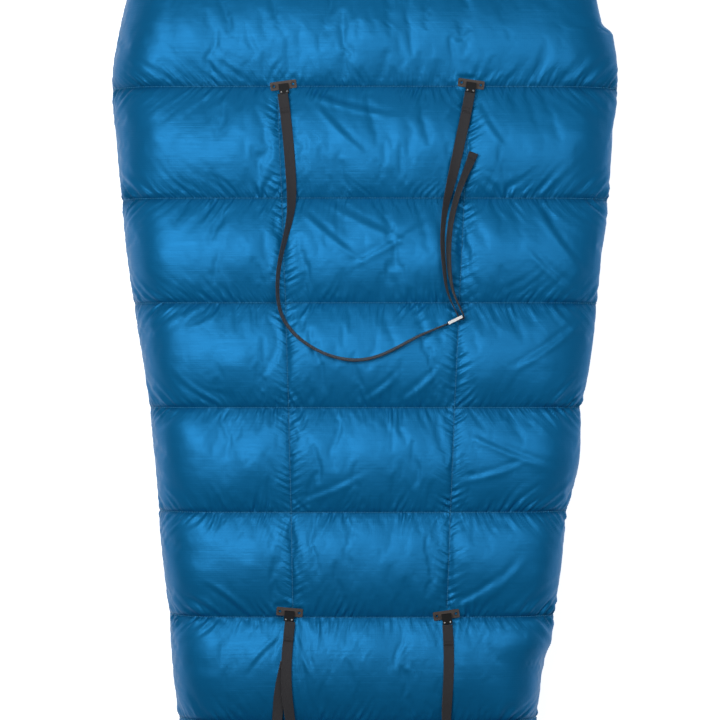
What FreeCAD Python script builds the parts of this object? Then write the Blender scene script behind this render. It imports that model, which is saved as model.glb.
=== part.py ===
"""Mummy sleeping bag lying on its front, back panel up.  Millimetres, +Z up, +Y towards the hood.

The bag is two quilted layers of baffles (the back layer above, the front layer below) with side
walls, a footbox and a hood between them, so that the sleeper's space stays open.
"""

import FreeCAD
import Part
import math
import os

V = FreeCAD.Vector

# ---- bag body -------------------------------------------------------------------------------
total_height = 150.0        # lofted height from the resting surface to the crest of the back
layer_thickness = 32.0      # one quilted layer, at the crest of a baffle
seam_depth = 8.0            # how far the outer face dips at a quilting seam
seam_flat = 16.0            # flat half-width of the dip at a seam
seam_rise = 16.0            # length over which the face rises from the seam to the crest
crest_trim = 0.05           # taken off each baffle's crest, so that it's a true plane
edge_round = 20.0           # radius of a layer's outer edge
baffle_pitch = 152.0        # distance between quilting seams along the body
shoulder_pitch = 162.0      # the two longer baffles at the shoulders
foot_seam_y = -813.0        # seam between the body and the footbox
body_baffles = 8            # baffles of the usual pitch
foot_end_y = -1010.0        # outer face of the footbox
foot_half_width = 185.0
chest_half_width = 352.0    # at the last seam before the shoulders
shoulder_half_width = 363.0
neck_half_width = 330.0
hood_radius = 170.0
hood_length = 298.0         # neck seam to the crown
foot_corner_round = 70.0
wall_thickness = 40.0       # side walls between the two layers
wall_setback = 6.0          # the walls stand this far inside the layers' edges
foot_wall_thickness = 38.0

# ---- hood and collar ------------------------------------------------------------------------
chin_length = 78.0
hood_wall = 42.0
collar_height = 24.0
collar_length = 42.0
collar_side_gap = 12.0
drawcord_diameter = 3.0
drawcord_z = 14.0
drawcord_gap = 0.5
lock_radius = 7.5
lock_height = 15.0
lock_wall = 2.2
lock_flat = 0.6             # depth of the flats on the barrel's two sides
lock_base_z = 6.5
button_fit = 0.35
button_stroke = 3.5
button_height = 10.0
spring_wire = 0.8
spring_turns = 4.0

# ---- zip ------------------------------------------------------------------------------------
zip_seam = 4                # the zip's foot end is near this seam, counted from the foot
zip_past_seam = 10.0
zip_below_neck = 87.0
zip_foot_inset = 20.0       # from the layers' edge to the tapes, at each end of the zip
zip_head_inset = 17.7
zip_z = 75.0
tape_width = 16.0
tape_thickness = 0.8
tape_gap = 2.0              # slit between the two tapes, where the slider's post runs
coil_width = 3.0            # one half of the coil
coil_height = 2.6
channel_half_width = 9.0    # room behind the tapes for the slider's inner plate
channel_depth = 5.0
tube_foot_overrun = 45.0    # the draft tube goes on past each end of the zip
tube_head_overrun = 15.0
slider_length = 12.0
slider_plate = 1.4
slider_gap = 0.4            # clearance between the slider and what it runs on
post_thickness = 1.2
post_length = 5.0
lug_thickness = 1.2
lug_spread = 3.2            # clear width between the two lugs that carry the puller
pin_radius = 0.8
pin_fit = 0.25
pin_height = 2.4            # pin axis above the slider's outer plate
puller_eye = 1.9            # outer radius of the puller's eye
puller_length = 19.0
puller_width = 2.6
puller_thickness = 1.5
puller_rest_deg = 11.0      # the puller hangs a little away from the bag's side
loop_cord = 2.5
loop_length = 29.0
loop_width = 10.0
loop_gap = 0.2
stop_length = 4.0
slider_from_end = 12.0      # rest place of each slider's middle, from the end of the zip
tab_length = 30.0           # closure tab, along the zip
tab_reach = 34.0
tab_thickness = 3.0
tab_gap = 0.4

# ---- straps on the back ---------------------------------------------------------------------
plate_length = 38.0
plate_width = 12.0
plate_thickness = 3.0
plate_slot_length = 14.0
plate_slot_width = 3.4
plate_hole_radius = 1.9
plate_hole_inset = 5.0
hook_width = 14.0
hook_length = 13.0
hook_fit = 0.3
hook_stand = 2.6            # top of the hooks above the crest of the back
strap_width = 15.0
strap_thickness = 1.5
buckle_length = 24.0
buckle_thickness = 4.0
buckle_rail = 2.2
buckle_bar = 2.6
buckle_fit = 0.4            # strap edge to buckle rail
upper_seam = 9              # the seams that carry the anchor plates, counted from the foot
lower_seam = 4
anchor_places = {           # seam, x and y from the seam of each plate's middle, and its turn
    "upper_left": (upper_seam, -114.0, 1.0, 8.0),
    "upper_right": (upper_seam, 158.0, 3.0, -8.0),
    "lower_left": (lower_seam, -105.0, 8.0, -5.0),
    "lower_right": (lower_seam, 122.0, 4.0, 8.0),
}
# The straps lie loose on the back, so each route is a list of chosen places (x, and y from the
# seam that its anchor is on), split into stretches that lie flat on their face, stand on their
# edge, or pass under another stretch.
strap_routes = {
    "strap_upper_left": [
        ("flat", [(-114.8, -5), (-110.5, -43), (-106, -85), (-103, -127), (-101.5, -161)]),
        ("edge", [(-104, -193), (-112, -225), (-119, -255), (-122.5, -285), (-121.5, -315), (-114, -339),
                  (-98, -360), (-76, -377), (-50, -390), (-22, -397), (4, -397), (31, -389), (58, -375),
                  (83, -361.5), (104, -352.8), (123.1, -344.7)]),
    ],
    "strap_upper_right": [
        ("flat", [(156.8, -5), (150.5, -41), (142.5, -77), (135, -113), (127, -147)]),
        ("edge", [(119.5, -177), (115.8, -209), (115.8, -240), (118.5, -268), (122.5, -290), (128.5, -309),
                  (135.4, -325.5), (141.7, -339.9), (148.9, -336.3), (142.6, -321.8), (134.5, -301),
                  (128.5, -277), (125.5, -252), (125.5, -227), (128, -203), (133.5, -177), (141, -151)]),
        ("flat", [(151, -123.5), (161.5, -98)]),
    ],
    "strap_lower_left": [
        ("flat", [(-104, -5), (-107.3, -35), (-109.4, -66), (-109.2, -97), (-106.8, -126),
                  (-103, -153)]),
        ("edge", [(-99.5, -181), (-96.8, -210), (-96.5, -239), (-99.8, -265), (-104.6, -282),
                  (-108.8, -297.2), (-112, -310.8), (-119.8, -309), (-116.3, -294), (-116.5, -274),
                  (-120.3, -248), (-124, -221), (-125.6, -195)]),
        ("low_edge", [(-124.8, -168)]),
        ("under", [(-122.3, -141), (-120.6, -113), (-116, -87), (-110.5, -63)]),
    ],
    "strap_lower_right": [
        ("flat", [(123, -5), (125.3, -39), (125.2, -75), (123.4, -111), (121.6, -145)]),
        ("edge", [(121.8, -177), (124.3, -209), (124.5, -241), (118.5, -273), (102.5, -299),
                  (80, -320), (53, -336), (24, -344), (-5, -342), (-32, -333), (-55, -322.5),
                  (-75, -315.5), (-92.8, -311.2)]),
    ],
}
strap_overlap = 1.6         # two stretches share this much of the run between them
strap_lays = {              # width in plan, height, and how far below the others it lies
    "flat": (strap_width, strap_thickness, 0.0),
    "edge": (strap_thickness, strap_width, 0.0),
    "under": (strap_width, strap_thickness, strap_thickness + 0.3),
    "low_edge": (strap_thickness, strap_width, strap_thickness + 0.3),
}
buckle_places = {           # seam, x and y of the bar that the long strap goes round, and the turn
    "buckle_upper": (upper_seam, 143.5, -334.5, 26.6),
    "buckle_lower": (lower_seam, -115.0, -306.0, 167.0),
}

# ---- hang loops at the foot -----------------------------------------------------------------
hang_loop_width = 12.0
hang_loop_span = 40.0
hang_loop_reach = 15.0
hang_loop_thickness = 1.6
hang_loop_x = 80.0
hang_loop_z = 69.0

# ---- worked out from the sizes above --------------------------------------------------------
back_inner_z = total_height - layer_thickness
front_inner_z = layer_thickness
seams = [foot_seam_y + baffle_pitch * i for i in range(body_baffles + 1)]
seams += [seams[-1] + shoulder_pitch, seams[-1] + 2.0 * shoulder_pitch]
chest_y, shoulder_y, neck_y = seams[-3], seams[-2], seams[-1]
hood_centre_y = neck_y + hood_length - hood_radius
zip_foot_y = seams[zip_seam] - zip_past_seam
zip_head_y = neck_y - zip_below_neck
hook_top_z = total_height + hook_stand
strap_z = hook_top_z
coil_face = tape_thickness + coil_height
plate_in = -slider_gap - slider_plate
plate_out = coil_face + slider_gap
pin_out = plate_out + slider_plate + pin_height


def half_width(y):
    """Half-width of the layers' outline at y, in straight tapers between the named widths."""
    places = [
        (foot_end_y, foot_half_width),
        (chest_y, chest_half_width),
        (shoulder_y, shoulder_half_width),
        (neck_y, neck_half_width),
    ]
    for (y0, w0), (y1, w1) in zip(places, places[1:]):
        if y <= y1:
            return w0 + (w1 - w0) * (y - y0) / (y1 - y0)
    return neck_half_width


zip_foot_x = half_width(zip_foot_y) - zip_foot_inset
zip_head_x = half_width(zip_head_y) - zip_head_inset
zip_angle = math.atan2(zip_head_x - zip_foot_x, zip_head_y - zip_foot_y)


def save(name, shape):
    """Write one node, after checking that it is made of valid solids."""
    shape = shape.removeSplitter()
    if not shape.Solids or not shape.isValid():
        raise ValueError(name + " is not a valid solid")
    shape.exportStep(os.path.join("parts", name + ".step"))
    return shape


def box(x0, x1, y0, y1, z0, z1):
    return Part.makeBox(x1 - x0, y1 - y0, z1 - z0, V(x0, y0, z0))


def prism(points, z0, z1):
    """A closed plan outline raised from z0 to z1."""
    wire = Part.makePolygon([V(x, y, z0) for x, y in points + points[:1]])
    return Part.Face(wire).extrude(V(0, 0, z1 - z0))


def arc(a, mid, b):
    return Part.Arc(a, mid, b).toShape()


# ---- quilted layers -------------------------------------------------------------------------
def layer_section(y, half, inner_z, crest_z, dip):
    """Cross-section of a layer at y: flat inside, rounded at both outer edges."""
    side = 1.0 if crest_z > inner_z else -1.0
    face_z = crest_z - side * dip
    round_z = face_z - side * edge_round
    diagonal = edge_round * (1.0 - math.sqrt(0.5))
    inner_left, inner_right = V(-half, y, inner_z), V(half, y, inner_z)
    side_left, side_right = V(-half, y, round_z), V(half, y, round_z)
    top_left, top_right = V(-half + edge_round, y, face_z), V(half - edge_round, y, face_z)
    mid_left = V(-half + diagonal, y, face_z - side * diagonal)
    mid_right = V(half - diagonal, y, face_z - side * diagonal)
    edges = [
        Part.makeLine(inner_left, inner_right),
        Part.makeLine(inner_right, side_right),
        arc(side_right, mid_right, top_right),
        Part.makeLine(top_right, top_left),
        arc(top_left, mid_left, side_left),
        Part.makeLine(side_left, inner_left),
    ]
    return Part.Wire(edges)


def baffle(y0, y1, inner_z, crest_z):
    """One quilted baffle from seam to seam, its crest trimmed to a true plane."""
    dip = seam_depth + crest_trim
    stations = [
        (y0, dip),
        (y0 + seam_flat, dip),
        (y0 + seam_flat + seam_rise, 0.0),
        (y1 - seam_flat - seam_rise, 0.0),
        (y1 - seam_flat, dip),
        (y1, dip),
    ]
    outward = math.copysign(crest_trim, crest_z - inner_z)
    wires = [layer_section(y, half_width(y), inner_z, crest_z + outward, dip) for y, dip in stations]
    loft = Part.makeLoft(wires, True, True)
    low, high = sorted((inner_z, crest_z))
    return loft.common(box(-1000, 1000, y0 - 1, y1 + 1, low, high))


def make_baffles():
    for i, (y0, y1) in enumerate(zip(seams, seams[1:]), start=1):
        save("back_baffle_%02d" % i, baffle(y0, y1, back_inner_z, total_height))
        save("front_baffle_%02d" % i, baffle(y0, y1, front_inner_z, 0.0))


# ---- side walls, draft tube and footbox -----------------------------------------------------
def wall(y0, y1, side):
    """A straight length of side wall between the two layers."""
    outer0, outer1 = half_width(y0) - wall_setback, half_width(y1) - wall_setback
    points = [
        (side * outer0, y0),
        (side * outer1, y1),
        (side * (outer1 - wall_thickness), y1),
        (side * (outer0 - wall_thickness), y0),
    ]
    return prism(points, front_inner_z, back_inner_z)


def zip_x(y):
    return zip_foot_x + (y - zip_foot_y) * math.tan(zip_angle)


def on_zip(shape, y):
    """Put a shape made at the origin (X out of the bag, Y along the zip) at height y of the zip."""
    shape.rotate(V(0, 0, 0), V(0, 0, 1), -math.degrees(zip_angle))
    shape.translate(V(zip_x(y), y, zip_z))
    return shape


def zip_strip(x0, x1, z0, z1):
    """A straight strip that runs the whole length of the zip."""
    length = (zip_head_y - zip_foot_y) / math.cos(zip_angle)
    return on_zip(box(x0, x1, 0, length, z0, z1), zip_foot_y)


def draft_tube():
    y0, y1 = zip_foot_y - tube_foot_overrun, zip_head_y + tube_head_overrun
    points = [
        (zip_x(y0), y0),
        (zip_x(y1), y1),
        (zip_x(y1) - wall_thickness, y1),
        (zip_x(y0) - wall_thickness, y0),
    ]
    body = prism(points, front_inner_z, back_inner_z)
    length = (y1 - y0) / math.cos(zip_angle)
    channel = box(-channel_depth, 1, 0, length + 20, -channel_half_width, channel_half_width)
    return body.cut(on_zip(channel.translated(V(0, -10, 0)), y0))


def rounded_plan(points, radius, z0, z1, edges_at):
    """A raised outline with its upright edges rounded where edges_at says so."""
    solid = prism(points, z0, z1)
    picked = []
    for edge in solid.Edges:
        a, b = edge.Vertexes[0].Point, edge.Vertexes[-1].Point
        upright = abs(a.x - b.x) < 1e-6 and abs(a.y - b.y) < 1e-6
        if upright and edges_at(a):
            picked.append(edge)
    return solid.makeFillet(radius, picked)


def foot_layer(z0, z1):
    wide = half_width(foot_seam_y)
    points = [
        (-wide, foot_seam_y),
        (-foot_half_width, foot_end_y),
        (foot_half_width, foot_end_y),
        (wide, foot_seam_y),
    ]
    return rounded_plan(points, foot_corner_round, z0, z1, lambda p: p.y < foot_end_y + 1.0)


def make_sides():
    wall_end_y = foot_end_y + foot_wall_thickness
    left = [("foot", wall_end_y, seams[3]), ("leg", seams[3], chest_y),
            ("chest", chest_y, shoulder_y), ("neck", shoulder_y, neck_y)]
    for name, y0, y1 in left:
        save("left_side_wall_" + name, wall(y0, y1, -1.0))
    save("right_side_wall_foot", wall(wall_end_y, zip_foot_y - tube_foot_overrun, 1.0))
    save("right_side_wall_neck", wall(zip_head_y + tube_head_overrun, neck_y, 1.0))
    save("draft_tube", draft_tube())
    save("footbox_back_panel", foot_layer(back_inner_z, total_height))
    save("footbox_front_panel", foot_layer(0.0, front_inner_z))
    inner = half_width(wall_end_y) - wall_setback
    outer = foot_half_width - foot_corner_round
    end = [(-inner, wall_end_y), (-outer, foot_end_y), (outer, foot_end_y), (inner, wall_end_y)]
    save("footbox_end_panel", prism(end, front_inner_z, back_inner_z))


# ---- hood -----------------------------------------------------------------------------------
def hood_corner(inset):
    """Neck corner of the hood's outline, moved in by inset, and its tangent point on the round."""
    reach = math.hypot(neck_half_width, hood_centre_y - neck_y)
    towards = math.atan2(neck_y - hood_centre_y, neck_half_width)
    tangent = towards + math.acos(hood_radius / reach)
    radius = hood_radius - inset
    touch = (radius * math.cos(tangent), hood_centre_y + radius * math.sin(tangent))
    slope = (neck_half_width - hood_radius * math.cos(tangent)) / (
        hood_centre_y + hood_radius * math.sin(tangent) - neck_y
    )
    corner_x = touch[0] + slope * (touch[1] - neck_y)
    return corner_x, touch, slope


def hood_outline(inset, start_y):
    """Plan edges of the hood, open at start_y: right side, round, left side."""
    corner_x, touch, slope = hood_corner(inset)
    start_x = corner_x - slope * (start_y - neck_y)
    top = V(0, hood_centre_y + hood_radius - inset, 0)
    right, left = V(touch[0], touch[1], 0), V(-touch[0], touch[1], 0)
    start, finish = V(start_x, start_y, 0), V(-start_x, start_y, 0)
    return [Part.makeLine(start, right), arc(right, top, left), Part.makeLine(left, finish)], start_x


def hood_plate(inset, start_y, z0, z1):
    edges, start_x = hood_outline(inset, start_y)
    closing = Part.makeLine(V(-start_x, start_y, 0), V(start_x, start_y, 0))
    face = Part.Face(Part.Wire(edges + [closing]))
    face.translate(V(0, 0, z0))
    return face.extrude(V(0, 0, z1 - z0))


def make_hood():
    back = hood_plate(0.0, neck_y, back_inner_z, total_height)
    rim = [e for e in back.Edges if e.BoundBox.ZMin > total_height - 1e-3 and e.BoundBox.YMax > neck_y + 1]
    back = back.makeFillet(edge_round, rim)
    save("hood_back_panel", back.common(box(-500, 500, neck_y, 1200, 0, 500)))
    ring = hood_plate(0.0, neck_y, 0.0, back_inner_z)
    ring = ring.cut(hood_plate(hood_wall, neck_y - 1.0, -1.0, back_inner_z + 1.0))
    touch = hood_corner(0.0)[1]
    inner_touch = hood_corner(hood_wall)[1]
    away = 3.0
    cut_in = (touch[0] + (inner_touch[0] - touch[0]) * away, touch[1] + (inner_touch[1] - touch[1]) * away)
    cut_out = (touch[0] - (inner_touch[0] - touch[0]), touch[1] - (inner_touch[1] - touch[1]))
    right_cut = prism([cut_in, cut_out, (600, cut_out[1]), (600, neck_y - 5), (cut_in[0], neck_y - 5)],
                      -5, total_height)
    left_cut = right_cut.mirror(V(0, 0, 0), V(1, 0, 0))
    save("hood_right_panel", ring.common(right_cut))
    save("hood_left_panel", ring.common(left_cut))
    save("hood_crown", ring.cut(right_cut).cut(left_cut))
    corner_x, _, slope = hood_corner(hood_wall)
    chin_x = corner_x - slope * chin_length
    chin = [(-corner_x, neck_y), (-chin_x, neck_y + chin_length),
            (chin_x, neck_y + chin_length), (corner_x, neck_y)]
    save("chin_panel", prism(chin, 0.0, front_inner_z))


def make_collar():
    """Neck roll: one length under the back layer and one over the chin."""
    y0 = neck_y - collar_length
    half = half_width(neck_y) - wall_setback - wall_thickness - collar_side_gap
    upper = box(-half, half, y0, neck_y, back_inner_z - collar_height, back_inner_z)
    lower = box(-half, half, y0, neck_y, front_inner_z, front_inner_z + collar_height)
    save("draft_collar", Part.makeCompound([upper, lower]))


def make_drawcord():
    """Cord round the face opening, from one side of the cord lock to the other."""
    inset = hood_wall + drawcord_diameter / 2.0 + drawcord_gap
    chin_y = neck_y + chin_length + lock_radius - lock_flat + drawcord_gap
    edges, start_x = hood_outline(inset, chin_y)
    reach = V(lock_radius, chin_y, 0)
    wire = Part.Wire([Part.makeLine(reach, V(start_x, chin_y, 0))] + edges
                     + [Part.makeLine(V(-start_x, chin_y, 0), V(-lock_radius, chin_y, 0))])
    wire.translate(V(0, 0, drawcord_z))
    start = V(lock_radius, chin_y, drawcord_z)
    circle = Part.Wire(Part.makeCircle(drawcord_diameter / 2.0, start, V(1, 0, 0)))
    cord = wire.makePipeShell([circle], True, False, 1)
    save("hood_drawcord", cord)
    return chin_y


def make_cord_lock(y):
    """Barrel with a sprung button that rises out of it."""
    base, top = lock_base_z, lock_base_z + lock_height
    bore = lock_radius - lock_wall
    flat = lock_radius - lock_flat
    barrel = Part.makeCylinder(lock_radius, lock_height, V(0, y, base))
    barrel = barrel.cut(Part.makeCylinder(bore, lock_height, V(0, y, base + lock_wall)))
    save("cord_lock_body", barrel.common(box(-lock_radius, lock_radius, y - flat, y + flat, base, top)))
    button_z = top - button_height + button_stroke + 2.5
    button = Part.makeCylinder(bore - button_fit, button_height, V(0, y, button_z))
    button = button.makeFillet(1.2, [e for e in button.Edges if e.BoundBox.ZMin > button_z + 1])
    save("cord_lock_button", button)
    spring_z = base + lock_wall + spring_wire / 2.0 + 0.02
    spring_top = button_z - spring_wire / 2.0 - 0.02
    radius = bore - 1.4
    helix = Part.makeHelix((spring_top - spring_z) / spring_turns, spring_top - spring_z, radius)
    section = Part.Wire(Part.makeCircle(spring_wire / 2.0, V(radius, 0, 0), V(0, 1, 0)))
    spring = Part.Wire(helix).makePipeShell([section], True, True)
    spring.translate(V(0, y, spring_z))
    save("cord_lock_spring", spring)


# ---- zip ------------------------------------------------------------------------------------
def slider():
    """Two plates joined by a post, closed over the coil at both sides, with lugs for the puller."""
    half = tape_gap / 2.0 + coil_width + slider_gap
    wall_out = half + slider_plate
    length = slider_length / 2.0
    outer = box(plate_out, plate_out + slider_plate, -length, length, -wall_out, wall_out)
    outer = outer.makeFillet(2.5, [e for e in outer.Edges if abs(e.BoundBox.XLength - slider_plate) < 1e-3])
    inner = box(plate_in, plate_in + slider_plate, -length, length, -wall_out, wall_out)
    inner = inner.makeFillet(2.5, [e for e in inner.Edges if abs(e.BoundBox.XLength - slider_plate) < 1e-3])
    post = box(plate_in, plate_out + slider_plate, -post_length / 2, post_length / 2,
               -post_thickness / 2, post_thickness / 2)
    body = outer.fuse(inner).fuse(post)
    for side in (-1.0, 1.0):
        near, far = sorted((side * half, side * wall_out))
        body = body.fuse(box(tape_thickness + slider_gap, plate_out + slider_plate,
                             -length + 2.5, length - 2.5, near, far))
        near, far = sorted((side * lug_spread / 2, side * (lug_spread / 2 + lug_thickness)))
        lug = box(plate_out + slider_plate, pin_out + pin_radius + 0.8, -2.0, 2.0, near, far)
        body = body.fuse(lug)
    pin_half = lug_spread / 2 + lug_thickness
    pin = Part.makeCylinder(pin_radius, 2 * pin_half, V(pin_out, 0, -pin_half))
    return body.fuse(pin).removeSplitter()


def puller():
    """Tab with an eye on the slider's pin and a hole for its pull loop, pointing down the zip."""
    half = puller_width / 2.0
    eye = Part.makeCylinder(puller_eye, puller_width, V(pin_out, 0, -half))
    tab = box(pin_out - puller_thickness / 2, pin_out + puller_thickness / 2,
              -puller_length, 0, -half, half)
    head = box(pin_out - puller_thickness / 2, pin_out + puller_thickness / 2,
               -puller_length, -puller_length + 9.0, -half - 1.6, half + 1.6)
    head = head.makeFillet(2.0, [e for e in head.Edges if abs(e.BoundBox.XLength - puller_thickness) < 1e-3])
    hole_radius = loop_cord / 2.0 + loop_gap
    hole = Part.makeCylinder(hole_radius, 10, V(pin_out - 5, -puller_length + 3.4, 0), V(1, 0, 0))
    bore = Part.makeCylinder(pin_radius + pin_fit, 10, V(pin_out, 0, -5))
    return eye.fuse(tab).fuse(head).cut(hole).cut(bore).removeSplitter()


def pull_loop():
    """Closed loop of cord through the puller's hole."""
    near = -puller_length + 3.4
    radius = (loop_width - loop_cord) / 2.0
    far = near - loop_length + loop_cord
    a, b = V(pin_out - radius, near - radius, 0), V(pin_out + radius, near - radius, 0)
    c, d = V(pin_out + radius, far + radius, 0), V(pin_out - radius, far + radius, 0)
    top, bottom = V(pin_out, near, 0), V(pin_out, far, 0)
    path = Part.Wire([arc(a, top, b), Part.makeLine(b, c), arc(c, bottom, d), Part.makeLine(d, a)])
    section = Part.Wire(Part.makeCircle(loop_cord / 2.0, a, V(0, 1, 0)))
    return path.makePipeShell([section], True, False, 1)


def make_slider_set(name, y):
    save("slider_" + name, on_zip(slider(), y))
    for part, shape in (("puller_", puller()), ("pull_loop_", pull_loop())):
        shape.rotate(V(pin_out, 0, 0), V(0, 0, 1), puller_rest_deg)
        save(part + name, on_zip(shape, y))


def make_zip():
    half_gap = tape_gap / 2.0
    save("zip_tape_back", zip_strip(0, tape_thickness, half_gap, half_gap + tape_width))
    save("zip_tape_front", zip_strip(0, tape_thickness, -half_gap - tape_width, -half_gap))
    halves = [
        zip_strip(tape_thickness, coil_face, half_gap, half_gap + coil_width),
        zip_strip(tape_thickness, coil_face, -half_gap - coil_width, -half_gap),
    ]
    save("zip_coil", Part.makeCompound(halves))
    stop_half = half_gap + coil_width + 1.0
    stop = box(-0.6, coil_face + 1.0, 0, stop_length, -stop_half, stop_half)
    stops = [on_zip(stop.copy(), zip_head_y + 0.1)]
    stops.append(on_zip(stop.translated(V(0, -stop_length - 0.1, 0)), zip_foot_y))
    save("zip_stops", Part.makeCompound(stops))
    make_slider_set("upper", zip_head_y - slider_from_end)
    make_slider_set("lower", zip_foot_y + slider_from_end)


def make_closure_tab():
    """Hook-and-loop tab across the side above the zip, sewn along its upper edge."""
    middle = zip_head_y + tube_head_overrun + 10.0 + tab_length / 2.0
    slope = math.degrees(math.atan2(shoulder_half_width - neck_half_width, neck_y - shoulder_y))
    tab = box(tab_gap, tab_gap + tab_thickness, -tab_length / 2, tab_length / 2, -tab_reach, 0)
    tab = tab.makeFillet(6.0, [e for e in tab.Edges
                               if abs(e.BoundBox.XLength - tab_thickness) < 1e-3 and e.BoundBox.ZMax < -1])
    tab.rotate(V(0, 0, 0), V(0, 0, 1), slope)
    tab.translate(V(half_width(middle) - wall_setback, middle, zip_z + tab_reach / 2))
    save("closure_tab", tab)
    print("closure tab hinge", round(half_width(middle) - wall_setback + tab_gap, 2), middle,
          zip_z + tab_reach / 2, "turn", round(slope, 3))


# ---- straps ---------------------------------------------------------------------------------
def route_pieces(points):
    """Straight runs joined by tangent arcs, as (start, end, centre or None, radius, turn)."""
    pieces, here, radii = [], points[0], []
    for i in range(1, len(points) - 1):
        a, b, c = points[i - 1], points[i], points[i + 1]
        run_in, run_out = math.dist(a, b), math.dist(b, c)
        u = ((b[0] - a[0]) / run_in, (b[1] - a[1]) / run_in)
        w = ((c[0] - b[0]) / run_out, (c[1] - b[1]) / run_out)
        turn = math.atan2(u[0] * w[1] - u[1] * w[0], u[0] * w[0] + u[1] * w[1])
        tangent = 0.45 * min(run_in, run_out)
        radius = tangent / math.tan(abs(turn) / 2.0)
        start = (b[0] - u[0] * tangent, b[1] - u[1] * tangent)
        end = (b[0] + w[0] * tangent, b[1] + w[1] * tangent)
        side = math.copysign(1.0, turn)
        centre = (start[0] - side * u[1] * radius, start[1] + side * u[0] * radius)
        pieces.append((here, start, None, 0.0))
        pieces.append((start, end, centre, side * radius))
        here = end
        radii.append(radius)
    pieces.append((here, points[-1], None, 0.0))
    return pieces, radii


def side_edges(pieces, shift):
    """The route's runs and arcs, moved sideways by shift (left of the way it goes)."""
    edges = []
    for start, end, centre, radius in pieces:
        if centre is None:
            run = math.dist(start, end)
            n = (-(end[1] - start[1]) / run * shift, (end[0] - start[0]) / run * shift)
            ends = [V(p[0] + n[0], p[1] + n[1], 0) for p in (start, end)]
            edges.append(Part.makeLine(ends[0], ends[1]))
            continue
        scale = (radius - shift) / radius
        ends = [V(centre[0] + (p[0] - centre[0]) * scale, centre[1] + (p[1] - centre[1]) * scale, 0)
                for p in (start, end)]
        middle = (ends[0] + ends[1]) * 0.5 - V(centre[0], centre[1], 0)
        middle.normalize()
        middle = V(centre[0], centre[1], 0) + middle * abs(radius - shift)
        edges.append(arc(ends[0], middle, ends[1]))
    return edges


def ribbon(pieces, across, z0, z1):
    """A band of constant thickness along the given runs and arcs."""
    left, right = side_edges(pieces, across / 2.0), side_edges(pieces, -across / 2.0)
    start_cap = Part.makeLine(right[0].firstVertex().Point, left[0].firstVertex().Point)
    end_cap = Part.makeLine(left[-1].lastVertex().Point, right[-1].lastVertex().Point)
    wire = Part.Wire(Part.__sortEdges__(left + [end_cap] + right + [start_cap]))
    face = Part.Face(wire)
    face.translate(V(0, 0, z0))
    return face.extrude(V(0, 0, z1 - z0))


def split_route(stretches):
    """The runs and arcs of each stretch; neighbours share a little of the run between them."""
    points = [p for _, part in stretches for p in part]
    pieces, radii = route_pieces(points)
    parts, first, lead_in, passed = [], 0, None, 0
    for lay, part in stretches[:-1]:
        passed += len(part)
        run = 2 * (passed - 1)
        start, end = pieces[run][0], pieces[run][1]
        reach = 0.5 + 0.5 * strap_overlap / math.dist(start, end)
        ahead = tuple(a + (b - a) * reach for a, b in zip(start, end))
        behind = tuple(b + (a - b) * reach for a, b in zip(start, end))
        own = [lead_in] if lead_in else []
        parts.append((lay, own + pieces[first:run] + [(start, ahead, None, 0.0)]))
        lead_in, first = (behind, end, None, 0.0), run + 1
    own = [lead_in] if lead_in else []
    parts.append((stretches[-1][0], own + pieces[first:]))
    return parts, pieces, radii


def make_straps():
    for name, stretches in strap_routes.items():
        seam = upper_seam if "upper" in name else lower_seam
        stretches = [(lay, [(x, seams[seam] + y) for x, y in points]) for lay, points in stretches]
        parts, pieces, radii = split_route(stretches)
        whole, measured = None, 0.0
        for lay, own in parts:
            across, height, below = strap_lays[lay]
            solid = ribbon(own, across, strap_z - below, strap_z - below + height)
            measured += solid.Volume
            whole = solid if whole is None else whole.fuse(solid)
        length = sum(e.Length for e in side_edges(pieces, 0.0))
        expected = (length + strap_overlap * (len(parts) - 1)) * strap_width * strap_thickness
        if abs(measured - expected) > 0.02 * expected:
            raise ValueError(name + " is not its section times its length")
        save(name, whole)
        print(name, "length", round(length), "radii", [round(r) for r in radii])


def buckle():
    """Flat frame with three bars and two slots; the origin is the middle of its end bar."""
    z0 = -buckle_fit - buckle_rail
    z1 = strap_width + buckle_fit + buckle_rail
    half = buckle_thickness / 2.0
    end = buckle_bar / 2.0
    frame = box(-buckle_length + end, end, -half, half, z0, z1)
    corners = [e for e in frame.Edges if abs(e.BoundBox.YLength - buckle_thickness) < 1e-3]
    frame = frame.makeFillet(1.5, corners)
    slot_span = (buckle_length - 3.0 * buckle_bar) / 2.0
    for k in range(2):
        x1 = -end - k * (slot_span + buckle_bar)
        frame = frame.cut(box(x1 - slot_span, x1, -half - 1, half + 1, -buckle_fit, strap_width + buckle_fit))
    return frame


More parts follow.
